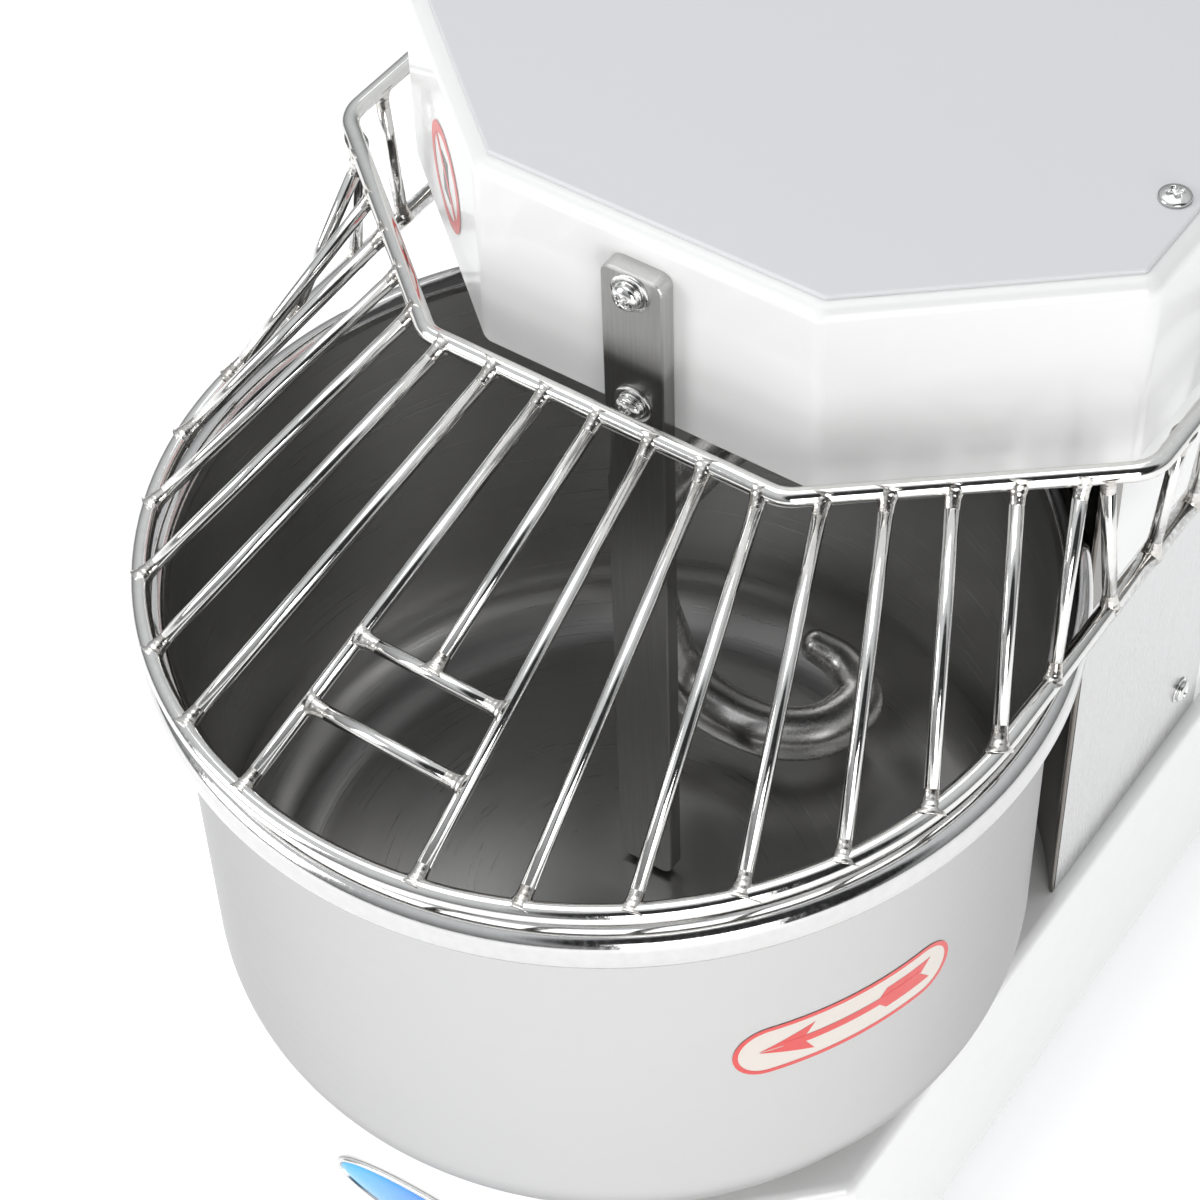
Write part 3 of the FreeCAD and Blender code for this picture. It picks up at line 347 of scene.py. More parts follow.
MATERIALS = {
    "white_paint": paint("white_paint", (0.86, 0.86, 0.85)),
    "white_gloss": paint("white_gloss", (0.87, 0.87, 0.86), roughness=0.30, coat=0.35),
    "white_panel": paint("white_panel", (0.84, 0.84, 0.83)),
    "lid_sheet": paint("lid_sheet", (0.72, 0.723, 0.735), roughness=0.38, coat=0.1),
    "zinc_plate": brushed("zinc_plate", (0.60, 0.61, 0.62), 0.38, (1, 1, 1)),
    "zinc_screw": plated("zinc_screw", (0.72, 0.72, 0.71)),
    "black_rubber": moulded("black_rubber", (0.022, 0.022, 0.023), 0.75),
    "badge_blue": badge_enamel("badge_blue"),
    "black_plastic": moulded("black_plastic", (0.03, 0.03, 0.032), 0.5),
    # dark_stainless: polished column cover steel with a dark brown base colour, a painted reflection of the
    # dark surroundings it mirrors.
    "dark_stainless": brushed("dark_stainless", (0.20, 0.185, 0.17), 0.13, (30, 30, 0.6), grain=0.08),
    "stainless_plate": brushed("stainless_plate", (0.62, 0.62, 0.62), 0.26, (1, 12, 0.4), grain=0.03),
    "bar_stainless": linished("bar_stainless"),
    "bowl_stainless": turned("bowl_stainless", (0.60, 0.597, 0.592), 0.33, grain=0.025, edge=0.62),
    # bowl_inside: the bowl's steel with a darker colour, painted shade inside the bowl; its stronger grain is
    # the real circular brushing.
    "bowl_inside": turned("bowl_inside", (0.56, 0.556, 0.548), 0.31, grain=0.07, anisotropic=0.3),
    "bead_polish": plated("bead_polish", (0.66, 0.655, 0.65), 0.12),
    "cast_hub": cast("cast_hub", (0.50, 0.50, 0.50), 0.35),
    "ground_shaft": plated("ground_shaft", (0.60, 0.60, 0.60), 0.22),
    "cast_housing": cast("cast_housing", (0.15, 0.16, 0.18)),
    "sprocket_steel": plated("sprocket_steel", (0.34, 0.33, 0.32), 0.34),
    "chain_steel": plated("chain_steel", (0.26, 0.25, 0.24), 0.36),
    "bearing_steel": plated("bearing_steel", (0.68, 0.68, 0.69), 0.14),
    "gearbox_paint": cast("gearbox_paint", (0.12, 0.14, 0.16)),
    "motor_paint": cast("motor_paint", (0.07, 0.10, 0.16)),
    "cowl_paint": paint("cowl_paint", (0.05, 0.055, 0.06), roughness=0.4, coat=0.2),
    "grey_plastic": moulded("grey_plastic", (0.42, 0.43, 0.44), 0.45),
    "hook_stainless": brushed("hook_stainless", (0.76, 0.75, 0.735), 0.25, (6, 6, 6),
                              grain=0.04, depth=0.000001),
    "guard_wire": plated("guard_wire", (0.76, 0.755, 0.74), 0.11),
    "weld_metal": weld_metal("weld_metal", (0.78, 0.77, 0.75)),
    "label_cream": film("label_cream", (0.72, 0.66, 0.60)),
    "label_white": film("label_white", (0.84, 0.84, 0.82)),
    "label_red": film("label_red", (0.72, 0.045, 0.04)),
    "label_black": film("label_black", (0.02, 0.02, 0.02)),
    "nylon_washer": moulded("nylon_washer", (0.78, 0.78, 0.74), 0.45),
    "panel_grey": moulded("panel_grey", (0.055, 0.06, 0.065), 0.42),
    "bezel_black": moulded("bezel_black", (0.015, 0.015, 0.016), 0.22, coat=0.4),
    "green_plastic": moulded("green_plastic", (0.01, 0.27, 0.06), 0.28, coat=0.4),
    "red_plastic": moulded("red_plastic", (0.55, 0.012, 0.012), 0.28, coat=0.4),
    "yellow_plastic": moulded("yellow_plastic", (0.85, 0.52, 0.01), 0.35, coat=0.2),
    "knob_black": moulded("knob_black", (0.02, 0.02, 0.021), 0.42),
}

for part in frame["record"]["subparts"]:
    mesh = frame["nodes"][part["node"]].data
    mesh.materials.clear()
    mesh.materials.append(MATERIALS[part["material_slot"]])


# ---------------------------------------------------------------- mesh tools

def make_object(name, vertices, faces, slot, body, smooth=True, origin=Vector((0, 0, 0)), look=None):
    mesh = bpy.data.meshes.new(name)
    mesh.from_pydata([Vector(v) - origin for v in vertices], [], faces)
    mesh.update()
    for polygon in mesh.polygons:
        polygon.use_smooth = smooth
    piece = bpy.data.objects.new(name, mesh)
    piece.location = origin
    bpy.context.scene.collection.objects.link(piece)
    mesh.materials.append(MATERIALS[look or slot])
    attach(piece, body)
    return piece


def arc_points(start, corner, end, radius, steps):
    """The rounded corner between two straight runs, as points."""
    before = (start - corner).normalized()
    after = (end - corner).normalized()
    half = before.angle(after) / 2
    if radius <= 0 or half > math.radians(89.9):
        return [corner.copy()]
    reach = radius / math.tan(half)
    centre = corner + (before + after).normalized() * (radius / math.sin(half))
    first = corner + before * reach - centre
    last = corner + after * reach - centre
    return [centre + first.slerp(last, i / steps).normalized() * radius if i else centre + first
            for i in range(steps + 1)]


def rounded_path(points, radii, steps=8):
    path = [points[0].copy()]
    for i in range(1, len(points) - 1):
        path += arc_points(points[i - 1], points[i], points[i + 1], radii[i], steps)
    path.append(points[-1].copy())
    return path


def tube(path, radius, sides, radii=None):
    """Vertices and faces of a round tube that follows the path without twisting."""
    vertices = []
    faces = []
    side = None
    for i, point in enumerate(path):
        ahead = path[min(i + 1, len(path) - 1)] - path[max(i - 1, 0)]
        ahead.normalize()
        if side is None:
            side = ahead.orthogonal()
        side = (side - ahead * side.dot(ahead)).normalized()
        up = ahead.cross(side)
        here = radii[i] if radii else radius
        for k in range(sides):
            angle = 2 * math.pi * k / sides
            vertices.append(point + (side * math.cos(angle) + up * math.sin(angle)) * here)
    for i in range(len(path) - 1):
        for k in range(sides):
            following = (k + 1) % sides
            faces.append((i * sides + k, i * sides + following,
                          (i + 1) * sides + following, (i + 1) * sides + k))
    faces.append(tuple(reversed(range(sides))))
    last = (len(path) - 1) * sides
    faces.append(tuple(range(last, last + sides)))
    return vertices, faces


def gather(parts):
    """Joins lists of vertices and faces into one."""
    vertices = []
    faces = []
    for some_vertices, some_faces in parts:
        start = len(vertices)
        vertices += some_vertices
        faces += [tuple(start + i for i in face) for face in some_faces]
    return vertices, faces


def lathe(profile, segments, centre, closed=True):
    """Turns a profile of (radius, height) points round the upright line through centre."""
    vertices = []
    faces = []
    count = len(profile)
    for s in range(segments):
        angle = 2 * math.pi * s / segments
        for r, z in profile:
            vertices.append(Vector((centre.x + r * math.cos(angle), centre.y + r * math.sin(angle), z)))
    last = count if closed else count - 1
    for s in range(segments):
        following = (s + 1) % segments
        for k in range(last):
            j = (k + 1) % count
            faces.append((s * count + k, following * count + k, following * count + j, s * count + j))
    return vertices, faces


def arc2(centre_r, centre_z, radius, start, end, steps):
    """Points of a circular arc in the (radius, height) plane, angles in degrees."""
    points = []
    for i in range(steps + 1):
        angle = math.radians(start + (end - start) * i / steps)
        points.append((centre_r + radius * math.cos(angle), centre_z + radius * math.sin(angle)))
    return points


# ---------------------------------------------------------------- bowl

def build_bowl():
    """Spun bowl: flat floor, rounded corner, straight wall and a rolled bead at the mouth."""
    outer = BOWL_R + BOWL_WALL
    outer_corner = BOWL_CORNER + BOWL_WALL
    bottom = BOWL_FLOOR - 2 * MM
    profile = [(0.030, bottom), (0.070, bottom)]
    profile += arc2(outer - outer_corner, bottom + outer_corner, outer_corner, -90, 0, 18)
    half_flat = BEAD_HIGH - BEAD_DEEP
    low_z = BEAD_Z - half_flat
    fillet = 2.6 * MM
    reach = BEAD_DEEP + fillet
    lean = math.acos((BEAD_CENTRE_R - outer - fillet) / reach)
    fillet_z = low_z - reach * math.sin(lean)
    profile += [(outer, 0.25), (outer, 0.32), (outer, fillet_z - 4 * MM)]
    profile += arc2(outer + fillet, fillet_z, fillet, 180, math.degrees(lean), 8)
    profile += arc2(BEAD_CENTRE_R, low_z, BEAD_DEEP, -180 + math.degrees(lean), 0, 22)[1:]
    profile += arc2(BEAD_CENTRE_R, BEAD_Z + half_flat, BEAD_DEEP, 0, 165, 26)
    profile += [(BOWL_R + 0.1 * MM, BEAD_Z + half_flat - 0.4 * MM)]
    profile += [(BOWL_R, BEAD_Z - 2 * MM), (BOWL_R, 0.32), (BOWL_R, 0.25)]
    profile += arc2(BOWL_R - BOWL_CORNER, BOWL_FLOOR + BOWL_CORNER, BOWL_CORNER, 0, -90, 18)
    profile += [(0.100, BOWL_FLOOR), (0.060, BOWL_FLOOR), (0.030, BOWL_FLOOR)]
    segments = 192
    vertices, faces = lathe(profile, segments, BOWL_AXIS, closed=False)
    count = len(profile)
    for k, z in ((0, bottom), (count - 1, BOWL_FLOOR)):
        hub = len(vertices)
        vertices.append(Vector((0, BOWL_AXIS.y, z)))
        for s in range(segments):
            edge = (s * count + k, (s + 1) % segments * count + k)
            faces.append((hub, *edge) if k else (hub, *reversed(edge)))
    piece = make_object("bowl_spun", vertices, faces, "bowl_stainless", "bowl_assembly", origin=BOWL_AXIS)
    # The inside copy of the steel is darker as painted shade inside the bowl.
    piece.data.materials.append(MATERIALS["bowl_inside"])
    piece.data.materials.append(MATERIALS["bead_polish"])
    for polygon in piece.data.polygons:
        reach = Vector((polygon.center.x, polygon.center.y)).length
        facing_in = polygon.normal.x * polygon.center.x + polygon.normal.y * polygon.center.y < 0
        low_inside = polygon.center.z > BOWL_FLOOR - 0.5 * MM and reach < BOWL_R + 0.3 * MM
        on_top = polygon.center.z > low_z and reach > BOWL_R + 0.05 * MM
        if on_top or (polygon.center.z > BEAD_Z - BEAD_HIGH - 0.2 * MM and reach > outer + 3.2 * MM):
            polygon.material_index = 2
        elif low_inside and (facing_in or polygon.normal.z > 0.05):
            polygon.material_index = 1
    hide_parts("bowl")
    return piece


# ---------------------------------------------------------------- spiral

def build_hook():
    """Round bar bent from the shaft out into an arm and then into one turn that tapers to its tip."""
    stops = [(0, -5, 470, 10.8), (0, -5, 430, 10.8), (0, -5, 390, 10.8), (-4, -6.5, 370, 11.0),
             (-22, -14, 344, 11.5), (-38, -20, 314, 12.0), (-46, -22, 280, 12.3), (-46, -21, 250, 12.5),
             (-39.9, -18.6, 222, 12.5), (-34.3, -17.6, 208, 12.6), (-26.3, -17.8, 198, 12.7),
             (-15.6, -18.2, 193, 12.8), (-4, -17.7, 190.5, 12.8), (11.6, -16.2, 190, 12.8),
             (24.7, -11.1, 190, 12.8), (35.2, -1.9, 190, 12.8), (40.5, 11.2, 190.5, 12.5),
             (39.9, 22.7, 191, 11.8), (32.9, 30.4, 192.5, 10.8), (25.0, 34.2, 194.5, 9.8),
             (17.4, 34.7, 197, 8.8), (10.7, 33.1, 200, 8.0)]
    steps = 8
    path = smooth_path([Vector(stop[:3]) * MM for stop in stops], steps)
    radii = []
    for i in range(len(path)):
        k = min(i // steps, len(stops) - 2)
        share = i / steps - k
        radii.append((stops[k][3] * (1 - share) + stops[k + 1][3] * share) * MM)
    ahead = (path[-1] - path[-2]).normalized()
    end = path[-1]
    tip = radii[-1]
    for i in range(1, 11):
        angle = math.radians(88) * i / 10
        path.append(end + ahead * (tip * math.sin(angle)))
        radii.append(tip * math.cos(angle))
    vertices, faces = tube(path, HOOK_R, 32, radii=radii)
    piece = make_object("spiral_bar", vertices, faces, "hook_stainless", "spiral_assembly")
    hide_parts("spiral_hook")
    return piece


def smooth_path(points, steps):
    """A Catmull-Rom curve through the points."""
    path = []
    for i in range(len(points) - 1):
        before = points[max(i - 1, 0)]
        start = points[i]
        end = points[i + 1]
        after = points[min(i + 2, len(points) - 1)]
        for k in range(steps):
            t = k / steps
            path.append(0.5 * ((2 * start) + (end - before) * t
                               + (2 * before - 5 * start + 4 * end - after) * t * t
                               + (3 * start - before - 3 * end + after) * t * t * t))
    path.append(points[-1].copy())
    return path


# ---------------------------------------------------------------- guard

def upper_joint(k):
    along = abs(k) * UPPER_STEP
    side = 1 if k >= 0 else -1
    if along <= UPPER_FRONT_HALF:
        return Vector((side * along, GUARD_Y, UPPER_Z))
    run = Vector((UPPER_HALF - UPPER_FRONT_HALF, UPPER_CORNER_Y - GUARD_Y)).normalized()
    rest = along - UPPER_FRONT_HALF
    return Vector((side * (UPPER_FRONT_HALF + rest * run.x), GUARD_Y + rest * run.y, UPPER_Z))


def lower_joint(k):
    along = abs(k) * LOWER_STEP
    side = 1 if k >= 0 else -1
    quarter = RING_R * math.pi / 2
    if along <= quarter:
        angle = along / RING_R
        return Vector((side * RING_R * math.sin(angle), GUARD_Y - RING_R * math.cos(angle), RING_Z))
    return Vector((side * RING_R, GUARD_Y + along - quarter, RING_Z))


def guard_rods():
    """Start and end of every rod between the guard's two wires."""
    rods = []
    for k in range(-8, 9):
        if k:
            rods.append((upper_joint(k), lower_joint(k)))
    crossings = []
    for part in CROSS_AT:
        ends = []
        for k in (-1, 1):
            ends.append(upper_joint(k).lerp(lower_joint(k), part))
        crossings.append(tuple(ends))
    rods.append((upper_joint(0), (crossings[0][0] + crossings[0][1]) / 2))
    rods += crossings
    slope = (UPPER_HALF - UPPER_FRONT_HALF) / (UPPER_CORNER_Y - GUARD_Y)
    for side in (-1, 1):
        for y in SIDE_BAR_Y:
            top_x = UPPER_HALF - max(0.0, UPPER_CORNER_Y - y) * slope
            rods.append((Vector((side * top_x, y, UPPER_Z)), Vector((side * RING_R, y, RING_Z))))
    return rods


def build_guard():
    ring = [Vector((-RING_R, RING_END_Y, RING_Z))]
    for i in range(73):
        angle = math.pi * (i / 72 - 0.5)
        ring.append(Vector((RING_R * math.sin(angle), GUARD_Y - RING_R * math.cos(angle), RING_Z)))
    ring.append(Vector((RING_R, RING_END_Y, RING_Z)))
    piece = make_object("guard_lower_wire", *tube(ring, WIRE_R, 24), "guard_wire", "guard")
    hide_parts("guard_ring")

    half = [Vector((-PLATE_OUTER - WIRE_R, HINGE_Y[0], UPPER_Z)),
            Vector((-PLATE_OUTER - WIRE_R, HINGE_Y[1], UPPER_Z)),
            Vector((-UPPER_HALF, HINGE_Y[2], UPPER_Z)), Vector((-UPPER_HALF, UPPER_CORNER_Y, UPPER_Z)),
            Vector((-UPPER_FRONT_HALF, GUARD_Y, UPPER_Z))]
    mirrored = [Vector((-p.x, p.y, p.z)) for p in reversed(half)]
    path = rounded_path(half + mirrored, [0, 0.012, 0.012, 0.018, 0.014, 0.014, 0.018, 0.012, 0.012, 0])
    piece = make_object("guard_top_wire", *tube(path, WIRE_R, 24), "guard_wire", "guard")
    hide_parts("guard_upper_wire")

    rods = []
    welds = []
    for start, end in guard_rods():
        rods.append(tube([start, start.lerp(end, 0.5), end], ROD_R, 20))
        welds.append(weld(start, (end - start).normalized()))
        welds.append(weld(end, (start - end).normalized()))
    piece = make_object("guard_rods", *gather(rods), "guard_wire", "guard")
    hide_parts("guard_bars")
    make_object("guard_welds", *gather(welds), "guard_wire", "guard", look="weld_metal")


def wire_direction(joint):
    """Which way the wire runs that a rod is welded to, at one joint."""
    if abs(joint.z - UPPER_Z) < 1 * MM:
        if abs(joint.x) <= UPPER_FRONT_HALF + 1 * MM:
            return Vector((1, 0, 0))
        if joint.y < UPPER_CORNER_Y:
            side = 1 if joint.x > 0 else -1
            run = Vector((side * (UPPER_HALF - UPPER_FRONT_HALF), UPPER_CORNER_Y - GUARD_Y, 0))
            return run.normalized()
        return Vector((0, 1, 0))
    if abs(joint.z - RING_Z) < 1 * MM:
        if joint.y < GUARD_Y:
            return Vector((GUARD_Y - joint.y, joint.x, 0)).normalized()
        return Vector((0, 1, 0))
    if abs(joint.x) < 2 * MM:
        return Vector((1, 0, 0))
    side = 1 if joint.x > 0 else -1
    return (lower_joint(side) - upper_joint(side)).normalized()


def weld(joint, ahead):
    """The weld at one end of a rod: it spreads along the wire in two hollow fillets, with ripples."""
    along = wire_direction(joint)
    along = (along - ahead * along.dot(ahead)).normalized()
    lift = ahead.cross(along)
    reach = random.uniform(9.0, 10.5) * MM
    spread = random.uniform(6.6, 7.8) * MM
    swell = random.uniform(4.1, 4.5) * MM
    phase = random.uniform(0, 2 * math.pi)
    rings = 22
    sides = 28
    vertices = []
    for i in range(rings + 1):
        t = i / rings
        wide = ROD_R + 0.35 * MM * (1 - t) + (spread - ROD_R) * max(0.0, 1 - 1.15 * t) ** 3
        tall = ROD_R + 0.35 * MM * (1 - t) + (swell - ROD_R) * max(0.0, 1 - 1.15 * t) ** 1.6
        if i == rings:
            wide = tall = ROD_R * 0.98
        ripple = 1 + 0.035 * math.sin(t * 26 + phase) * (1 - t)
        for k in range(sides):
            turn = 2 * math.pi * k / sides
            lump = 1 + 0.09 * (1 - t) * noise.noise(joint * 900 + Vector((2.2 * math.cos(turn),
                                                                         2.2 * math.sin(turn), 3 * t)))
            vertices.append(joint + ahead * (reach * t - 0.5 * MM)
                            + along * (wide * ripple * lump * math.cos(turn))
                            + lift * (tall * ripple * lump * math.sin(turn)))
    faces = []
    for i in range(rings):
        for k in range(sides):
            following = (k + 1) % sides
            faces.append((i * sides + k, i * sides + following,
                          (i + 1) * sides + following, (i + 1) * sides + k))
    faces.append(tuple(reversed(range(sides))))
    faces.append(tuple(range(rings * sides, (rings + 1) * sides)))
    return vertices, faces


# ---------------------------------------------------------------- breaker bar and its screws

def build_breaker_bar():
    """Flat bar with rounded ends, eased edges and a short bevel that widens up its left front edge."""
    round_r = 5 * MM
    ease = 0.6 * MM
    bevel = 4.8 * MM
    top_chamfer = 0.9 * MM
    bevel_z = 0.408
    bevel_run = 0.032
    bevel_end = 0.4401
    heights = [BAR_BOTTOM + round_r * (1 - math.cos(math.radians(a))) for a in range(0, 91, 15)]
    heights += [0.25, 0.33, 0.40]
    heights += [bevel_z + bevel_run * i / 20 for i in range(21)]
    heights += [0.442, 0.47, 0.50]
    heights += [BAR_TOP - round_r * (1 - math.sin(math.radians(a))) for a in range(0, 91, 15)]
    front = HEAD_FRONT_Y - BAR_T
    back = HEAD_FRONT_Y
    vertices = []
    for z in heights:
        over = max(0.0, BAR_BOTTOM + round_r - z, z - (BAR_TOP - round_r))
        half = BAR_HALF - round_r + math.sqrt(max(0.0, round_r ** 2 - over ** 2))
        fade = min(1.0, max(0.0, (z - bevel_z) / bevel_run)) if z <= bevel_end else 0.0
        cut = ease + (bevel - ease) * fade ** 0.6
        top_ease = max(0.0, z - (BAR_TOP - top_chamfer))
        vertices += [Vector((-half + cut, front + top_ease, z)), Vector((half - ease, front + top_ease, z)),
                     Vector((half, front + max(ease, top_ease), z)), Vector((half, back - ease, z)),
                     Vector((half - ease, back, z)), Vector((-half + ease, back, z)),
                     Vector((-half, back - ease, z)), Vector((-half, front + max(cut, top_ease), z))]
    faces = []
    for i in range(len(heights) - 1):
        for k in range(8):
            j = (k + 1) % 8
            faces.append((i * 8 + k, i * 8 + j, (i + 1) * 8 + j, (i + 1) * 8 + k))
    last = (len(heights) - 1) * 8
    faces.append(tuple(reversed(range(8))))
    faces.append(tuple(range(last, last + 8)))
    piece = make_object("breaker_flat_bar", vertices, faces, "bar_stainless", "frame", smooth=False)
    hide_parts("breaker_bar")


def screw_head(place, direction, radius, height, turn=0.0):
    """Domed head with a cross recess, standing on a face."""
    rings = 36
    sides = 120
    across = direction.orthogonal().normalized()
    other = direction.cross(across)
    arm = radius * 0.20
    reach = radius * 0.58
    outline = [(radius, 0.0), (radius, height * 0.35)]
    for i in range(1, rings + 1):
        angle = math.radians(90) * i / rings
        outline.append((radius * math.cos(angle), height * (0.35 + 0.65 * math.sin(angle))))
    vertices = []
    for r, h in outline:
        for k in range(sides):
            angle = 2 * math.pi * k / sides + turn
            x = r * math.cos(angle)
            y = r * math.sin(angle)
            near = min(abs(x), abs(y))
            edge = min(1.0, max(0.0, (arm - near) / (radius * 0.11)))
            inside = min(1.0, max(0.0, (reach - r) / (radius * 0.14)))
            slope = edge * edge * (3 - 2 * edge) * inside * inside * (3 - 2 * inside)
            drop = height * 0.62 * slope * (1 - 0.5 * r / reach) if r < reach else 0.0
            vertices.append(place + across * x + other * y + direction * (h - drop))
    faces = []
    for i in range(len(outline) - 1):
        for k in range(sides):
            j = (k + 1) % sides
            faces.append((i * sides + k, i * sides + j, (i + 1) * sides + j, (i + 1) * sides + k))
    faces.append(tuple(reversed(range(sides))))
    return vertices, faces


def washer(place, direction, outer, inner, height, gap=0.0):
    """Flat washer with eased edges, or a split spring washer where gap is an angle."""
    across = direction.orthogonal().normalized()
    other = direction.cross(across)
    ease = height * 0.2
    outline = [(inner, 0), (outer - ease, 0), (outer, ease), (outer, height - ease),
               (outer - ease, height), (inner, height)]
    sides = 64
    vertices = []
    faces = []
    steps = sides + 1 if gap else sides
    for k in range(steps):
        angle = gap / 2 + (2 * math.pi - gap) * k / sides
        spiral = height * 0.18 * (k / sides - 0.5) if gap else 0.0
        for r, h in outline:
            vertices.append(place + (across * math.cos(angle) + other * math.sin(angle)) * r
                            + direction * (h + spiral))
    count = len(outline)
    for k in range(sides):
        following = (k + 1) % steps
        for i in range(count):
            j = (i + 1) % count
            faces.append((k * count + i, following * count + i, following * count + j, k * count + j))
    if gap:
        faces.append(tuple(range(count)))
        faces.append(tuple(reversed(range(sides * count, steps * count))))
    return vertices, faces


def build_screws():
    front = HEAD_FRONT_Y - BAR_T
    outward = Vector((0, -1, 0))
    parts = []
    for i, z in enumerate(BAR_SCREW_Z):
        base = Vector((0, front, z))
        parts.append(washer(base, outward, 8.5 * MM, 3.1 * MM, 1.2 * MM))
        parts.append(washer(base + outward * 1.35 * MM, outward, 6.1 * MM, 3.1 * MM, 1.1 * MM, gap=0.12))
        parts.append(screw_head(base + outward * 2.5 * MM, outward, 5.8 * MM, 4.2 * MM, turn=0.5 + 0.9 * i))
    piece = make_object("bar_screws", *gather(parts), "zinc_screw", "frame")
    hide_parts("breaker_bar_fasteners")

    parts = []
    turn = 0.2
    for x, y in LID_SCREWS:
        turn += 0.7
        parts.append(screw_head(Vector((x, y, LID_TOP)), Vector((0, 0, 1)), 6.6 * MM, 3.1 * MM, turn=turn))
    piece = make_object("lid_screw_heads", *gather(parts), "zinc_screw", "frame")
    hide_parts("lid_screws")

    parts = []
    for side in (-1, 1):
        for z in SIDE_SCREW_Z:
            place = Vector((side * COLUMN_HALF, SIDE_SCREW_Y, z))
            parts.append(washer(place, Vector((side, 0, 0)), 6.6 * MM, 2.6 * MM, 0.8 * MM))
            parts.append(screw_head(place + Vector((side * 0.8 * MM, 0, 0)), Vector((side, 0, 0)),
                                    5.2 * MM, 3.0 * MM, turn=turn + z * 9))
    for x in COVER_SCREW_X:
        for z in COVER_SCREW_Z:
            parts.append(screw_head(Vector((x, REAR + 1.5 * MM, z)), Vector((0, 1, 0)), 4.6 * MM, 2.7 * MM,
                                    turn=z * 13 + x))
    piece = make_object("cover_screw_heads", *gather(parts), "zinc_screw", "frame")
    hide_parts("cover_screws")


# ---------------------------------------------------------------- labels and badge

def capsule(length, height, steps=16):
    """Outline of a capsule, anticlockwise from its right end, centred on the origin."""
    radius = height / 2
    points = []
    for side in (1, -1):
        for i in range(steps + 1):
            angle = math.radians(-90 + 180 * i / steps) + (0 if side > 0 else math.pi)
            points.append((side * (length / 2 - radius) + radius * math.cos(angle), radius * math.sin(angle)))
        for i in range(1, 2 * steps):
            points.append((side * (length / 2 - radius) * (1 - i / steps), side * radius))
    return points


def sheet(outline, place, step=3 * MM):
    """A flat shape cut into upright strips, so that it can follow a curved face."""
    xs = [p[0] for p in outline]
    low = min(xs)
    high = max(xs)
    count = max(2, int((high - low) / step))
    columns = {round(x, 7) for x in xs} | {round(low + (high - low) * i / count, 7) for i in range(count + 1)}
    columns = sorted(columns)
    count = len(columns) - 1
    nudge = 2e-7
    vertices = []
    faces = []
    for x in columns:
        cut = min(max(x, low + nudge), high - nudge)
        hits = []
        for i, start in enumerate(outline):
            end = outline[(i + 1) % len(outline)]
            if (start[0] - cut) * (end[0] - cut) <= 0 and abs(start[0] - end[0]) > 1e-9:
                hits.append(start[1] + (end[1] - start[1]) * (cut - start[0]) / (end[0] - start[0]))
        vertices += [place(x, min(hits)), place(x, max(hits))]
    for i in range(count):
        faces.append((2 * i, 2 * i + 2, 2 * i + 3, 2 * i + 1))
    return vertices, faces


def band(outer, inner, place):
    """The strip between two outlines that have the same number of points."""
    vertices = [place(*p) for p in outer] + [place(*p) for p in inner]
    count = len(outer)
    faces = []
    for i in range(count):
        j = (i + 1) % count
        faces.append((i, j, count + j, count + i))
    return vertices, faces


def build_turn_label():
    """Capsule label on the bowl with an arrow that shows which way the bowl turns."""
    middle = math.radians(TURN_LABEL_ANGLE)
    outline = capsule(TURN_LABEL_LONG, TURN_LABEL_HIGH)

    def placer(lift):
        radius = BOWL_R + BOWL_WALL + lift

        def place(x, z):
            angle = middle + x / radius
            return Vector((radius * math.sin(angle), BOWL_AXIS.y - radius * math.cos(angle),
                           TURN_LABEL_Z + z))
        return place

    shapes = (
        ("turn_label_film", "label_cream", [sheet(outline, placer(0.15 * MM))]),
        ("turn_label_print", "label_red", [
            band(outline, capsule(0.0976, 0.0256), placer(0.25 * MM)),
            *[sheet([(-0.040, 0.0003 * side), (-0.0165, 0.0088 * side), (-0.0215, 0.0003 * side)],
                    placer(0.25 * MM), 1 * MM) for side in (-1, 1)],
            *[sheet([(0.012, 0.0003 * side), (0.017, 0.0064 * side), (0.040, 0.0064 * side),
                     (0.035, 0.0003 * side)], placer(0.25 * MM), 1 * MM) for side in (-1, 1)],
            sheet([(-0.030, -0.0021), (0.034, -0.0021), (0.034, 0.0021), (-0.030, 0.0021)],
                  placer(0.32 * MM))]),
    )
    for name, slot, parts in shapes:
        piece = make_object(name, *gather(parts), "zinc_screw", "bowl_assembly", smooth=False)
        finish_label(piece, slot)


def finish_label(piece, look):
    piece.data.materials[0] = MATERIALS[look]
    solid = piece.modifiers.new("thickness", "SOLIDIFY")
    solid.thickness = 0.06 * MM
    solid.offset = 0


def build_round_label():
    """Plain round sign on the head's left chamfer: a red ring with one slanting bar."""
    corner = Vector((-0.0776, -0.0866, 0.484))
    along = Vector((-0.0948, 0.0793, 0)).normalized()
    outward = Vector((-along.y, along.x, 0))
    centre = corner + along * 0.056

    def placer(lift):
        def place(x, z):
            return centre - along * x + outward * lift + Vector((0, 0, z))
        return place

    def circle(radius):
        return [(radius * math.cos(math.radians(a)), radius * math.sin(math.radians(a)))
                for a in range(0, 360, 5)]

    lean = math.radians(135)
    bar = [(x * math.cos(lean) - y * math.sin(lean), x * math.sin(lean) + y * math.cos(lean))
           for x, y in ((-0.0186, -0.0022), (0.0186, -0.0022), (0.0186, 0.0022), (-0.0186, 0.0022))]
    square = [(-0.005, -0.0105), (0.005, -0.0105), (0.005, 0.0105), (-0.005, 0.0105)]
    shapes = (
        ("round_label_film", "label_white", [sheet(circle(ROUND_LABEL_R), placer(0.15 * MM))]),
        ("round_label_mark", "label_black", [sheet(square, placer(0.22 * MM))]),
        ("round_label_ring", "label_red", [band(circle(0.0235), circle(0.0184), placer(0.30 * MM)),
                                           sheet(bar, placer(0.30 * MM))]),
    )
    for name, look, parts in shapes:
        piece = make_object(name, *gather(parts), "zinc_screw", "frame", smooth=False)
        finish_label(piece, look)


